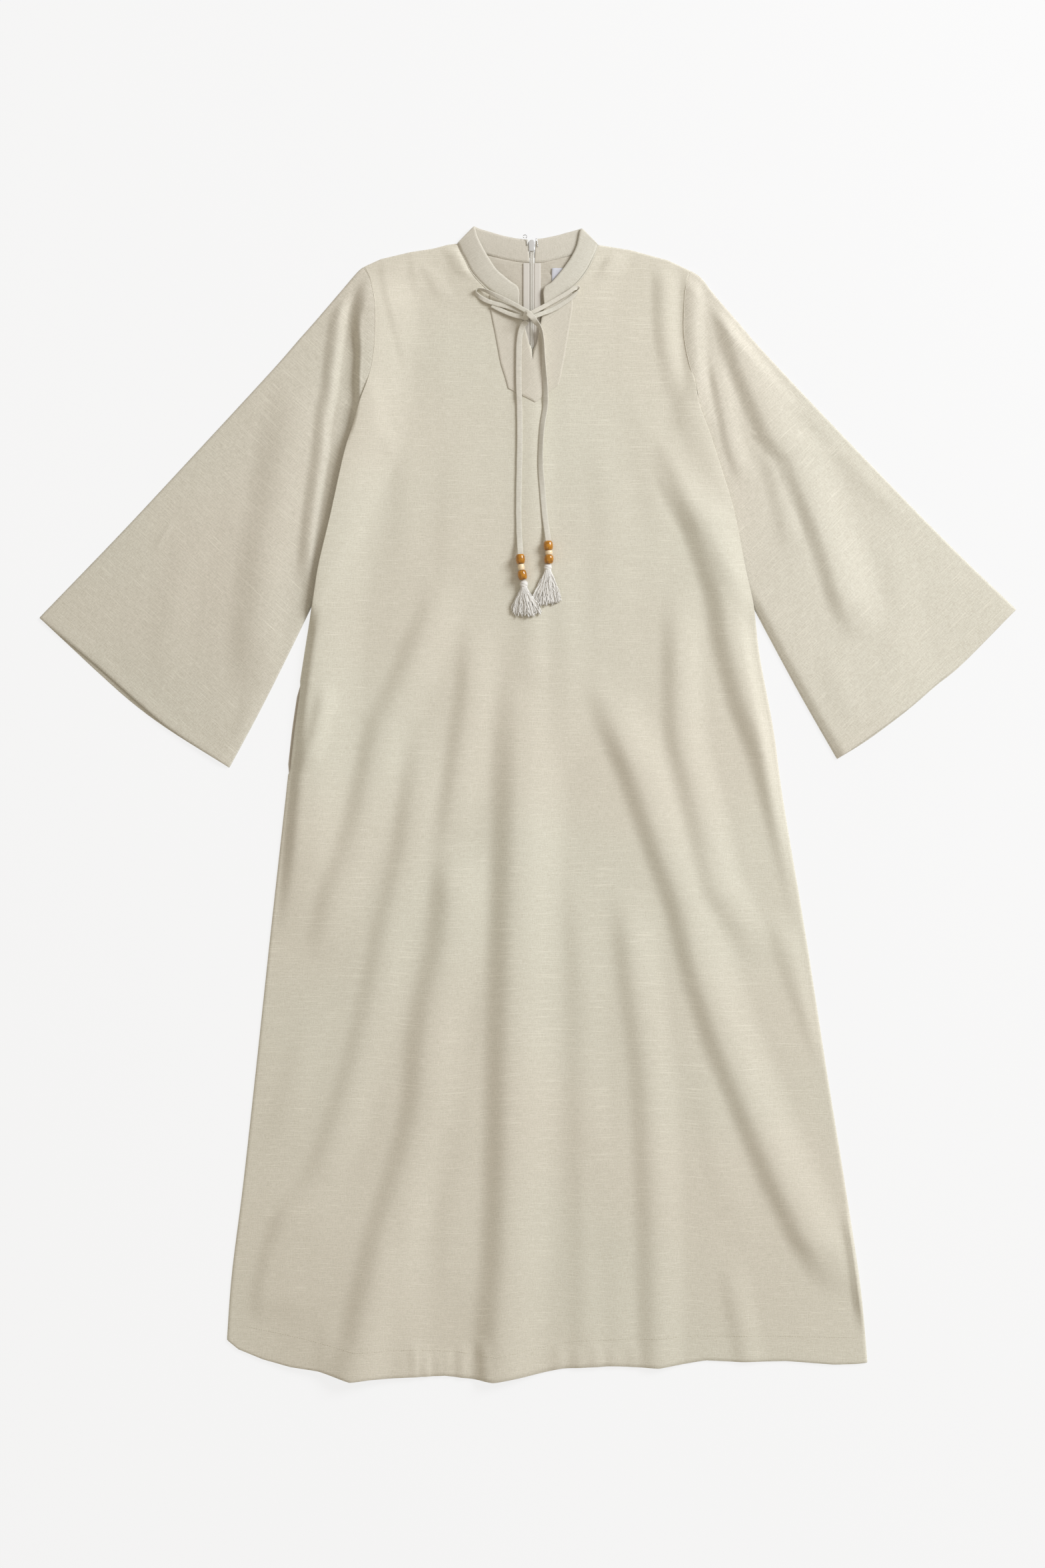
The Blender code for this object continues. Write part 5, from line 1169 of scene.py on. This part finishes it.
def collar_spot(table, position, share):
    """A point in the band: share runs from the neck seam to the free edge. Also the band's width there."""
    neck_x, neck_y, free_x, free_y, neck_z, free_z = through(table, position)
    wide = math.hypot(free_x - neck_x, free_y - neck_y) * PIXEL
    edge = min(share, 1 - share) * wide / PIXEL
    crown = 0.0006 * math.sin(math.pi * share) + WELT * math.exp(-((edge - 1.8) / 0.9) ** 2)
    if position < 9:
        crown -= 0.0007 * math.exp(-((share * wide / PIXEL) / 2.2) ** 2)
    height = blend(neck_z, free_z, share) + crown
    return place(blend(neck_x, free_x, share), blend(neck_y, free_y, share), height), wide


def build_collar(name, node, table, layer):
    shape = Shape()
    rows = []
    along, before = 0, None
    for position in steps_of(COLLAR_STEPS, len(table) - 1):
        middle = collar_spot(table, position, 0.5)[0]
        if before is not None:
            along += (middle - before).length
        before = middle
        row = []
        for share in steps_of(COLLAR_ACROSS, 1):
            where, wide = collar_spot(table, position, share)
            row.append((where, (share * wide + 0.35 * along, along, layer)))
        rows.append(row)
    shape.grid(rows)
    shape.wall(BAND)
    # the seam's rolled edge between the band and the front
    path = []
    for step in range(111):
        neck_x, neck_y, free_x, free_y = through(table, 0.05 + 8.3 * step / 110)[:4]
        x, y = neck_x - (free_x - neck_x) * 0.030, neck_y - (free_y - neck_y) * 0.030
        path.append(place(x, y, front_mid(x, y) + 0.00025))
    sweep(shape, path, *NECK_ROLL, 10, layer)
    made = settle(shape.make(name, "slub_linen_collar"), "linen", node)
    return made


def build_bib():
    shape = Shape()
    over = CLOTH / 2 + BIB_GAP + BIB_THICK / 2
    turn = math.radians(44)
    for table in (BIB_LEFT, BIB_RIGHT):
        rows = []
        for position in steps_of(BIB_DOWN, len(table) - 1):
            ends = half_row(table, position, BIB_TIP)
            row = []
            for share in steps_of(BIB_ACROSS, 1):
                x, y = across_row(ends, share)
                welt = WELT * math.exp(-(math.hypot(ends[2] - x, ends[3] - y) - 1.2) ** 2)
                where = place(x, y, front_mid(x, y) + over + welt)
                row.append((where, (where.x * math.cos(turn) + where.y * math.sin(turn),
                                    where.y * math.cos(turn) - where.x * math.sin(turn), 30)))
            rows.append(row)
        shape.grid(rows)
    shape.wall(BIB_THICK)
    made = settle(shape.make("bib_cloth", "slub_linen_bib"), "linen", "front_bib")
    return made


def build_label():
    rows = []
    for j in range(17):
        spots = [(828 + 36 * i / 16, 404 - i / 16 + 30 * j / 16) for i in range(17)]
        rows.append([cloth_point(x, y, back_mid(x, y) + CLOTH / 2 + SEAM + FACING / 2, 40) for x, y in spots])
    made = settle(panel(rows, FACING, "label_blank", "label_cloth"), "white_cloth", "neck_label")
    return made


# ---------------------------------------------------------------- ties, beads and tassels


def tie_path(table, steps):
    """Points of a tie's middle line, and each one's roll and table position."""
    path, rolls = [], []
    for position in steps_of(steps, len(table) - 1):
        x, y, high, roll = through(table, position)
        path.append(place(x, y, over_bib(x, y) + high))
        rolls.append((roll, position))
    return path, rolls


def build_tie(name, table, steps, width, core_from=None):
    """A flat stitched tube swept along its points. From core_from on it is drawn in to a round cord."""
    path, rolls = tie_path(table, steps)
    rings, grains = [], []
    sides = 18
    for (centre, flat, upper), (roll, position), along in zip(frames_along(path), rolls, lengths_along(path)):
        turn = math.radians(roll)
        wide_axis = flat * math.cos(turn) + upper * math.sin(turn)
        thick_axis = upper * math.cos(turn) - flat * math.sin(turn)
        wobble = 1 + 0.05 * noise.noise(Vector((along * 90, len(name), 0.5)))
        wide, thick = width / 2 * wobble, TIE_THICK / 2
        if core_from is not None:
            drawn = smooth((position - core_from) / 0.22)
            wide, thick = blend(wide, TIE_CORE, drawn), blend(thick, TIE_CORE, drawn)
        rings.append(round_ring(centre, wide_axis, thick_axis, wide, thick, sides, squared=0.55))
        grains.append([(along, TIE_WIDE * (side / sides), 50 + len(name)) for side in range(sides)])
    shape = Shape()
    shape.tube(rings, grains)
    made = shape.make(name, "slub_linen_ties")
    return settle(made, "linen", name.replace("ribbon_", "tie_")), path


def cord_frame(table, across, down):
    """Centre and direction of a tail beside a picture point."""
    def spot(position):
        x, y, high, _ = through(table, min(max(position, 0), len(table) - 1))
        return place(x, y, over_front(x, y) + high)

    best = min((step / 20 for step in range(20 * (len(table) - 1) + 1)),
               key=lambda position: math.dist(through(table, position)[:2], (across, down)))
    return spot(best), (spot(best + 0.2) - spot(best - 0.2)).normalized()


def build_bead(node, table, across, down, radius, half, material, slot):
    """A turned bead, its hole along the cord."""
    centre, ahead = cord_frame(table, across, down)
    lip = BEAD_HOLE + 0.0006
    profile = [(BEAD_HOLE, -half * 0.70), (BEAD_HOLE, half * 0.70), (BEAD_HOLE + 0.00025, half * 0.93)]
    for step in range(BEAD_RINGS + 1):
        angle = math.radians(76 - 152 * step / BEAD_RINGS)
        out = lip + (radius - lip) * math.cos(angle) ** 0.66
        profile.append((out, half * math.sin(angle) / math.sin(math.radians(76))))
    profile.append((BEAD_HOLE + 0.00025, -half * 0.93))
    turn = ahead.to_track_quat("Z", "Y")
    angles = [2 * math.pi * side / BEAD_SIDES for side in range(BEAD_SIDES)]
    rings = [[centre + turn @ Vector((r * math.cos(a), r * math.sin(a), z)) for a in angles] for r, z in profile]
    shape = Shape()
    shape.tube(rings, looped=True)
    return settle(shape.make("turned_" + node, material), slot, node)


def wound_head(shape, head, half_wide, half_long):
    """The knotted head of a tassel."""
    rings, grains = [], []
    for step in range(33):
        angle = math.pi * (0.05 + 0.85 * step / 32)
        ring, grain = [], []
        for side in range(36):
            around = 2 * math.pi * side / 36
            wound = 1 + 0.05 * math.sin(3 * around + 7 * angle) + 0.03 * math.sin(9 * angle - 2 * around)
            reach = math.sin(angle) ** 0.62 * wound
            ring.append(head + Vector((half_wide * reach * math.cos(around), half_long * 1.05 * math.cos(angle),
                                       TASSEL_DEEP / 2 * reach * math.sin(around))))
            grain.append((around + 3 * angle, angle * half_long, 0))
        rings.append(ring)
        grains.append(grain)
    shape.tube(rings, grains)


def build_tassel(row, strands):
    """A knotted head over a fall of loose wavy strands."""
    name, head_x, head_y, half_wide, half_long, fan_left, fan_right, foot = row
    half_wide, half_long = half_wide * PIXEL, half_long * PIXEL
    head = place(head_x, head_y, over_bib(head_x, head_y) + BIB_GAP + TASSEL_DEEP / 2)
    shape = Shape()
    wound_head(shape, head, half_wide, half_long)

    def waver(a, b, c):
        return noise.noise(Vector((a, b, c)))

    for strand in range(strands):
        draw = waver(strand * 1.37, 2.2, foot)
        spread = (strand + 0.5 + 0.9 * draw) / strands
        depth = (strand * 0.618034) % 1
        u = 2 * spread - 1
        start = head + Vector((u * half_wide * 0.72, -half_long * 0.62,
                               (depth - 0.5) * TASSEL_DEEP * 0.7 * math.sqrt(max(0.05, 1 - u * u))))
        goal_x = blend(fan_left, fan_right, min(1, max(0, spread)))
        goal_y = foot - 8 + 6 * (1 - u * u) + 9 * waver(strand * 2.11, 7.7, foot)
        goal = place(goal_x, goal_y, over_front(goal_x, goal_y) + 0.0006 + 0.0036 * depth * (1 - 0.5 * abs(u)))
        path = []
        for step in range(STRAND_STEPS + 1):
            share = step / STRAND_STEPS
            flare = share ** 1.25 * (1 + 0.30 * math.sin(math.pi * share) * abs(u))
            sway = 0.0042 * waver(strand * 0.91, share * 1.8, foot) * smooth(share * 1.6)
            wave = 0.0013 * waver(strand * 1.7, share * 5.5, 4 + foot) * smooth(share * 3)
            wave += 0.0006 * waver(strand * 2.3, share * 13, 9 + foot) * smooth(share * 4)
            where = start.lerp(goal, share)
            where.x = start.x + (goal.x - start.x) * flare + sway + wave
            where.z += 0.0010 * math.sin(math.pi * share)
            path.append(where)
        radius = STRAND_RADIUS * (1 + 0.30 * draw)
        rings, grains = [], []
        for number, (centre, flat, upper) in enumerate(frames_along(path)):
            frayed = {STRAND_STEPS - 1: 1.35, STRAND_STEPS: 1.15}.get(number, 1)
            uneven = frayed * (1 + 0.16 * waver(strand * 3.1, number * 0.7, 1))
            rings.append(round_ring(centre, flat, upper, radius * uneven, radius * uneven, 7, turn=number * 0.35))
            grains.append([(side / 7 * 6.28, number * 0.0022, strand * 0.31) for side in range(7)])
        shape.tube(rings, grains)
    return settle(shape.make("yarn_" + name, "tassel_yarn"), "yarn", name)


# ---------------------------------------------------------------- zip, hook and eye


def coil_height(down):
    """The coil leaves the collar and climbs on to the tape's level, then follows the back panel."""
    over_tape = back_mid(ZIP_X, down) + CLOTH / 2 + SEAM + COIL_THICK / 2
    return blend(SLIDER_MID, over_tape, smooth((down - 380) / 14))


def build_tape(name, left, right):
    rows = []
    for step in range(241):
        y = blend(TAPE_TOP, ZIP_END, (step / 240) ** 1.3)
        columns = [left + (right - left) * column / 8 for column in range(9)]
        rows.append([cloth_point(x, y, back_mid(x, y) + CLOTH / 2 + SEAM + TAPE / 2, 60) for x in columns])
    return settle(panel(rows, TAPE, name, "tape_cloth"), "zip_tape", name.replace("woven_", "zip_"))


def build_coil():
    """Two folded tape edges with the nylon loops between them."""
    shape = Shape()
    half = COIL_WIDE / 2
    # each run: how far aside, first and spare picture points, steps, rise, half width, half thickness, sides
    for aside, first, spare, steps, rise, wide, thick, sides in (
            (-0.53, 2, 2, 300, 0, half * 0.44, COIL_THICK * 0.48, 12),
            (0.53, 2, 2, 300, 0, half * 0.44, COIL_THICK * 0.48, 12),
            (0, 4, 5, 240, COIL_THICK * 0.12, 0.00052, 0.00036, 10)):
        path = []
        for step in range(steps + 1):
            y = COIL_TOP + first + (ZIP_END - COIL_TOP - spare) * step / steps
            path.append(place(ZIP_X, y, coil_height(y) + rise) + Vector((half * aside, 0, 0)))
        sweep(shape, path, wide, thick, sides)
    for number in range(int((ZIP_END - COIL_TOP - 8) * PIXEL / COIL_PITCH)):
        y = COIL_TOP + 5 + number * COIL_PITCH / PIXEL
        side = 1 if number % 2 else -1
        centre = place(ZIP_X, y, coil_height(y))
        path = []
        for step in range(7):
            angle = math.radians(-100 + 200 * step / 6)
            reach = half * (0.30 - 0.42 * math.cos(angle)) * side
            path.append(centre + Vector((-reach, 0, COIL_THICK * 0.40 * math.sin(angle))))
        sweep(shape, path, 0.00026, 0.00026, 5)
    return settle(shape.make("coil_loops", "coil_nylon"), "nylon_coil", "zip_coil")


def mirrored(right):
    """A whole outline from its right half."""
    return right + [(-x, y) for x, y in right[::-1]]


def shield(half_wide, top, foot_half, foot):
    """Outline of a slider plate: broad shoulders, narrower foot."""
    return mirrored([(foot_half, foot), (half_wide * 0.86, foot * 0.45), (half_wide, top * 0.20),
                     (half_wide * 0.84, top * 0.62), (half_wide * 0.42, top)])


def rounded_outline(outline, count):
    """A closed smooth line through the corners of an outline."""
    total = len(outline)
    return [curve([outline[(index + shift) % total] for shift in (-1, 0, 1, 2)], step / count)
            for index in range(total) for step in range(count)]


def add_plate(shape, outline, low, high, where, crown=0, soft=0.00022):
    """A plate with rounded edges, its upper face crowned where asked."""
    centre_x, centre_y = (sum(values) / len(outline) for values in zip(*outline))
    rings = []
    for shrink, z in ((0.0030, low), (soft, low), (soft * 0.3, low + soft * 0.3), (0, low + soft),
                      (0, high - soft), (soft * 0.3, high - soft * 0.3), (soft, high),
                      (0.0011, high + crown * 0.6), (0.0022, high + crown)):
        ring = []
        for x, y in outline:
            reach = math.hypot(x - centre_x, y - centre_y)
            grow = (reach - shrink) / reach
            ring.append(where + Vector((centre_x + (x - centre_x) * grow, centre_y + (y - centre_y) * grow, z)))
        rings.append(ring)
    shape.tube(rings)


def build_slider():
    where = place(ZIP_X, SLIDER_Y, 0)
    inner = SLIDER_MID + COIL_THICK / 2 + SEAM
    outer = SLIDER_MID - COIL_THICK / 2 - SEAM
    top, foot, wall = SLIDER_TOP, SLIDER_FOOT, SLIDER_WALL
    shape = Shape()
    add_plate(shape, rounded_outline(shield(0.0043, top, 0.0032, foot), 5), inner, inner + wall, where, 0.00025)
    add_plate(shape, rounded_outline(shield(0.0041, top, 0.0030, foot), 5), outer - wall, outer, where)
    post = ((top - 0.0015, outer - wall / 2), (top - 0.0014, inner + wall / 2))
    shape.tube([round_ring(where + Vector((0, y, z)), Vector((1, 0, 0)), Vector((0, 1, 0)), 0.0011, 0.0010, 14)
                for y, z in post])
    # the arch that holds the pull tab
    under = outer - wall / 2
    path = [where + Vector((0, y, z)) for y, z in ((-0.0024, under), *SLIDER_ARCH, (0.0032, under))]
    spread = Vector((1, 0, 0))
    rings = []
    for index, centre in enumerate(path):
        ahead = (path[min(index + 1, len(path) - 1)] - path[max(index - 1, 0)]).normalized()
        rings.append(round_ring(centre, spread, ahead.cross(spread), 0.0008, 0.00026, 12, squared=0.6))
    shape.tube(rings)
    return settle(shape.make("slider_body", "slider_enamel"), "enamelled_metal", "zip_slider")


def build_pull_tab():
    """A plate with an eye, its bar lying inside the slider's arch."""
    pivot = place(ZIP_X, SLIDER_Y, 0) + Vector((0, TAB_HINGE_Y, TAB_HINGE_Z))
    half, thick = TAB_WIDE / 2, TAB_THICK / 2
    outer = rounded_outline(mirrored([(half * 0.62, 0.0005), (half * 0.72, -0.0050), (half, -0.0085),
                                      (half, -TAB_LONG + 0.0012), (half * 0.7, -TAB_LONG)]), 6)
    middle = (EYE_LOW + EYE_HIGH) / 2
    inner = []
    for x, y in outer:
        away = Vector((x, y - middle, 0)).normalized()
        reach = min(EYE_HALF / max(1e-6, abs(away.x)), (EYE_HIGH - EYE_LOW) / 2 / max(1e-6, abs(away.y)))
        inner.append((away.x * reach, middle + away.y * reach))
    rows = []
    for low, shrink in ((0.7, 0), (1, 0.06), (1, 0.94), (0.7, 1)):
        rows.append([(blend(a[0], b[0], shrink), blend(a[1], b[1], shrink), thick * low)
                     for a, b in zip(outer, inner)])
    rows += [[(x, y, -z) for x, y, z in row] for row in rows[::-1]]
    shape = Shape()
    shape.tube([[pivot + Vector(point) for point in row] for row in rows], looped=True)
    return settle(shape.make("pull_tab", "slider_enamel"), "enamelled_metal", "zip_pull_tab", body="zip_pull")


def build_wire(name, points, node):
    """A bent wire, its corners eased."""
    shape = Shape()
    path = [Vector(through(points, position)) for position in steps_of(6 * (len(points) - 1), len(points) - 1)]
    sweep(shape, path, WIRE_RADIUS, WIRE_RADIUS, 12)
    return settle(shape.make(name, "hook_steel"), "wire_steel", node)


def build_hook_and_eye():
    level = COLLAR_END_TOP + SEAM + WIRE_RADIUS
    loop = [place(791, 370, level), place(790.6, 363, level)]
    for step in range(9):
        angle = math.radians(-60 + 300 * step / 8)
        x, y = EYE_X + EYE_RADIUS * math.cos(angle), EYE_Y - EYE_RADIUS * math.sin(angle)
        loop.append(place(x, y, level + 0.0001 * step))
    build_wire("eye_loop", loop, "eye_wire")
    build_wire("hook_bend", [place(x, y, level + rise) for x, y, rise in HOOK_BENDS], "hook_wire")


# ---------------------------------------------------------------- stitching


def surface_path(points, height):
    """A line of picture points laid on a surface, in small steps."""
    count = max(2, int(sum(math.dist(a, b) for a, b in zip(points, points[1:])) / 2))
    spots = [straight(points, min(index / count, 0.99999)) for index in range(count + 1)]
    return [place(x, y, height(x, y)) for x, y in spots]


def on_front(across, down):
    return front_mid(across, down) + CLOTH / 2 + STITCH_OVER


def on_bib(across, down):
    return front_mid(across, down) + CLOTH / 2 + BIB_GAP + BIB_THICK


def build_stitching(cloth):
    front = [surface_path(HEM_STITCH, on_front)]
    front += [surface_path(line, on_bib) for line in (BIB_STITCH_LEFT, BIB_STITCH_RIGHT)]
    collar = []
    for table in (COLLAR_LEFT, COLLAR_RIGHT):
        # along the neck seam, and along the inside of the back
        for first, far, steps, share in ((0, 8.6, 120, 0.10), (11, 4.9, 60, 0.07)):
            spots = [collar_spot(table, first + far * step / steps, share)[0] for step in range(steps + 1)]
            collar.append([spot + Vector((0, 0, BAND / 2)) for spot in spots])
    cuffs = []
    for table in (SLEEVE_LEFT, SLEEVE_RIGHT):
        hem = [sleeve_spot(table, 0.958, 0.03 + 0.94 * step / 160) for step in range(161)]
        cuffs.append([place(x, y, z + CLOTH / 2) for x, y, z in hem])
    for name, paths in (("front", front), ("collar", collar), ("cuffs", cuffs)):
        shape = Shape()
        for path in paths:
            stitch_line(shape, path, cloth.stitch, cloth.stitch_gap, cloth.thread)
        settle(shape.make("stitching_" + name, "linen_thread"), "linen")


# ---------------------------------------------------------------- camera, floor and lights


def add_lamp(name, where, wide, power, colour):
    """A round lamp that shines at the middle of the robe."""
    data = bpy.data.lights.new(name, "AREA")
    data.shape = "DISK"
    data.size = wide
    data.energy = power
    data.color = colour
    made = bpy.data.objects.new(name, data)
    made.location = where
    made.visible_camera = False
    made.rotation_euler = (-made.location).to_track_quat("-Z", "Y").to_euler()
    bpy.context.scene.collection.objects.link(made)


def build_stage(stage):
    data = bpy.data.cameras.new("camera")
    data.lens_unit = "MILLIMETERS"
    data.sensor_width = 36
    data.lens = 36 * stage.camera_height / (PICTURE_HIGH * PIXEL)
    camera = bpy.data.objects.new("camera", data)
    camera.location = place(PICTURE_WIDE / 2, PICTURE_HIGH / 2, stage.camera_height)
    bpy.context.scene.collection.objects.link(camera)
    bpy.context.scene.camera = camera
    floor = Finish("floor_paper", True, Roughness=0.9, Base_Color=(0.12, 0.12, 0.12, 1),
                   Emission_Strength=stage.glow)
    floor.show(Emission_Color=floor.mix(floor.cloud((1.3, 1.1, 1)), shade(stage.floor, 0.985), stage.floor))
    shape = Shape()
    ends = (-FLOOR_REACH, 0, FLOOR_REACH)
    shape.grid([[((x, y, 0), (x, y, 0)) for x in ends] for y in ends])
    shape.make("floor", "floor_paper")
    add_lamp("key", (3.48, 2.44, 2.76), 2.2, stage.key, (0.91, 0.94, 1))
    add_lamp("fill", (-2.4, -1.6, 4.2), 3, stage.fill, (1, 0.95, 0.88))
    world = bpy.data.worlds.new("studio")
    world.use_nodes = True
    world.node_tree.nodes["Background"].inputs["Color"].default_value = (1, 0.905, 0.79, 1)
    world.node_tree.nodes["Background"].inputs["Strength"].default_value = stage.around
    bpy.context.scene.world = world
    bpy.context.scene.view_settings.view_transform = "Standard"


# ---------------------------------------------------------------- settings


def colour_of(name, description, default):
    return bpy.props.FloatVectorProperty(name=name, description=description, default=default, size=3, min=0,
                                         max=1, subtype="COLOR")


def number_of(name, description, default, **limits):
    return bpy.props.FloatProperty(name=name, description=description, default=default, min=0, **limits)


def length_of(name, description, default):
    return number_of(name, description, default, unit="LENGTH", precision=5)


class RobeClothSettings(bpy.types.PropertyGroup):
    light: colour_of("Light thread", "Colour of the linen's lighter threads", (0.775, 0.748, 0.634))
    dark: colour_of("Dark thread", "Colour of the linen's darker threads", (0.620, 0.589, 0.482))
    tie_light: colour_of("Tie, light thread", "Colour of the ties' lighter threads", (0.745, 0.720, 0.630))
    tie_dark: colour_of("Tie, dark thread", "Colour of the ties' darker threads", (0.610, 0.585, 0.500))
    slubs: number_of("Slubs", "How strongly the thick threads show", 1, max=2)
    stitch: length_of("Stitch", "Length of one stitch", 0.0022)
    stitch_gap: length_of("Stitch gap", "Gap between two stitches", 0.0008)
    thread: length_of("Thread", "Width of the sewing thread", 0.00030)


class RobeTrimSettings(bpy.types.PropertyGroup):
    label: colour_of("Label", "Colour of the blank neck label", (0.64, 0.65, 0.70))
    tape: colour_of("Tape", "Colour of the zip tapes", (0.66, 0.63, 0.57))
    coil: colour_of("Coil", "Colour of the nylon loops", (0.69, 0.67, 0.60))
    slider: colour_of("Slider", "Colour of the slider's enamel", (0.73, 0.735, 0.72))
    bead_deep: colour_of("Bead, deep", "Darker colour of the brown beads", (0.19, 0.062, 0.003))
    bead_bright: colour_of("Bead, bright", "Lighter colour of the brown beads", (0.56, 0.235, 0.012))
    ring: colour_of("Ring", "Colour of the cream rings", (0.92, 0.74, 0.48))
    yarn: colour_of("Yarn", "Colour of the tassels", (0.86, 0.845, 0.80))
    strands: bpy.props.IntProperty(name="Strands", description="Strands in each tassel", default=94, min=8, max=120)


class RobeStageSettings(bpy.types.PropertyGroup):
    camera_height: length_of("Camera height", "Height of the camera over the robe", 3.5)
    floor: colour_of("Floor", "Colour of the paper under the robe", (0.93, 0.93, 0.93))
    key: number_of("Key", "Power of the main light, in watts", 240)
    fill: number_of("Fill", "Power of the soft light, in watts", 11)
    around: number_of("Around", "Strength of the light from all round", 0.42)
    glow: number_of("Glow", "How brightly the paper itself shines", 0.87)


# ---------------------------------------------------------------- operators


class RobeStep(bpy.types.Operator):
    """One step of the build"""

    bl_idname = "robe.step"
    bl_label = "Step"

    def execute(self, context):
        self.build(context.scene)
        return {"FINISHED"}


class RobeStage(RobeStep):
    """Camera straight above, pale floor and soft lights"""

    bl_idname = "robe.stage"
    bl_label = "Stage"

    def build(self, scene):
        build_stage(scene.robe_stage)
        make_finishes(scene.robe_cloth, scene.robe_trim)


class RobeTies(RobeStep):
    """Neck ties: bow loops, the lead to the collar and the knot"""

    bl_idname = "robe.ties"
    bl_label = "Ties"

    def build(self, scene):
        for name, table, steps in (("ribbon_loop_left", TIE_LOOP_LEFT, 110), ("ribbon_loop_right", TIE_LOOP_RIGHT, 110),
                                   ("ribbon_lead_left", TIE_LEAD_LEFT, 40)):
            made, path = build_tie(name, table, steps, LOOP_WIDE)
            lengths_along(path)[-1]
        build_tie("ribbon_knot", TIE_KNOT, 60, TIE_WIDE)


class RobeTails(RobeStep):
    """The two hanging ends of the ties, each with its beads and tassel"""

    bl_idname = "robe.tails"
    bl_label = "Tails, beads and tassels"

    def build(self, scene):
        for side, table, core in (("left", TIE_TAIL_LEFT, 13.38), ("right", TIE_TAIL_RIGHT, 15.34)):
            made, path = build_tie("ribbon_tail_" + side, table, 230, TIE_WIDE, core_from=core)
            pieces = []
            for node, across, down, radius, half in BEADS:
                if side in node:
                    finish, slot = ("cream_ring", "cream_bead") if "ring" in node else ("caramel_bead", "brown_bead")
                    pieces.append(build_bead(node, table, across, down, radius, half, finish, slot))
            pieces += [build_tassel(row, scene.robe_trim.strands) for row in TASSELS if side in row[0]]
            lengths_along(path)[-1]


class RobeBody(RobeStep):
    """Front panel and the two back panels"""

    bl_idname = "robe.body"
    bl_label = "Front and backs"

    def build(self, scene):
        build_front()
        build_back("back_cloth_left", "back_left", FRONT_LEFT, SLEEVE_LEFT, COLLAR_LEFT, 5)
        build_back("back_cloth_right", "back_right", FRONT_RIGHT, SLEEVE_RIGHT, COLLAR_RIGHT, 6)


class RobeSleeves(RobeStep):
    """The two wide sleeves, flattened"""

    bl_idname = "robe.sleeves"
    bl_label = "Sleeves"

    def build(self, scene):
        build_sleeve("sleeve_cloth_left", "sleeve_left", SLEEVE_LEFT, 10)
        build_sleeve("sleeve_cloth_right", "sleeve_right", SLEEVE_RIGHT, 20)


class RobeNeck(RobeStep):
    """Stand collar, bib and blank label"""

    bl_idname = "robe.neck"
    bl_label = "Collar, bib and label"

    def build(self, scene):
        build_collar("collar_band_left", "collar_left", COLLAR_LEFT, 25)
        build_collar("collar_band_right", "collar_right", COLLAR_RIGHT, 26)
        build_bib()
        build_label()


class RobeZip(RobeStep):
    """Zip tapes, loops, slider, pull tab, hook and eye"""

    bl_idname = "robe.zip"
    bl_label = "Zip, hook and eye"

    def build(self, scene):
        half, gap, wide = COIL_WIDE / 2 / PIXEL, SEAM / PIXEL, TAPE_WIDE / PIXEL
        left, right = ZIP_X - half - gap, ZIP_X + half + gap
        build_tape("woven_tape_left", left - wide, left)
        build_tape("woven_tape_right", right, right + wide)
        build_coil()
        build_slider()
        build_pull_tab()
        build_hook_and_eye()


class RobeStitching(RobeStep):
    """Sewn lines of the hem, bib, collar and cuffs"""

    bl_idname = "robe.stitching"
    bl_label = "Stitching"

    def build(self, scene):
        build_stitching(scene.robe_cloth)


STEPS = (RobeStage, RobeTies, RobeTails, RobeBody, RobeSleeves, RobeNeck, RobeZip, RobeStitching)
SETTINGS = (("robe_cloth", RobeClothSettings), ("robe_trim", RobeTrimSettings), ("robe_stage", RobeStageSettings))


class RobePanel(bpy.types.Panel):
    """The steps and the sizes of the robe"""

    bl_idname = "VIEW3D_PT_robe"
    bl_label = "Linen robe"
    bl_space_type = "VIEW_3D"
    bl_region_type = "UI"
    bl_category = "Robe"

    def draw(self, context):
        for name, group in SETTINGS:
            box = self.layout.box()
            for setting in group.__annotations__:
                box.prop(getattr(context.scene, name), setting)
        for step in STEPS:
            self.layout.operator(step.bl_idname)


def register():
    for name, group in SETTINGS:
        bpy.utils.register_class(group)
        setattr(bpy.types.Scene, name, bpy.props.PointerProperty(type=group))
    for step in STEPS:
        bpy.utils.register_class(step)
    bpy.utils.register_class(RobePanel)


def unregister():
    bpy.utils.unregister_class(RobePanel)
    for step in reversed(STEPS):
        bpy.utils.unregister_class(step)
    for name, group in reversed(SETTINGS):
        delattr(bpy.types.Scene, name)
        bpy.utils.unregister_class(group)


def main():
    register()
    for step in STEPS:
        area, name = step.bl_idname.split(".")
        getattr(getattr(bpy.ops, area), name)()
    bpy.context.view_layer.update()


if __name__ == "__main__":
    main()
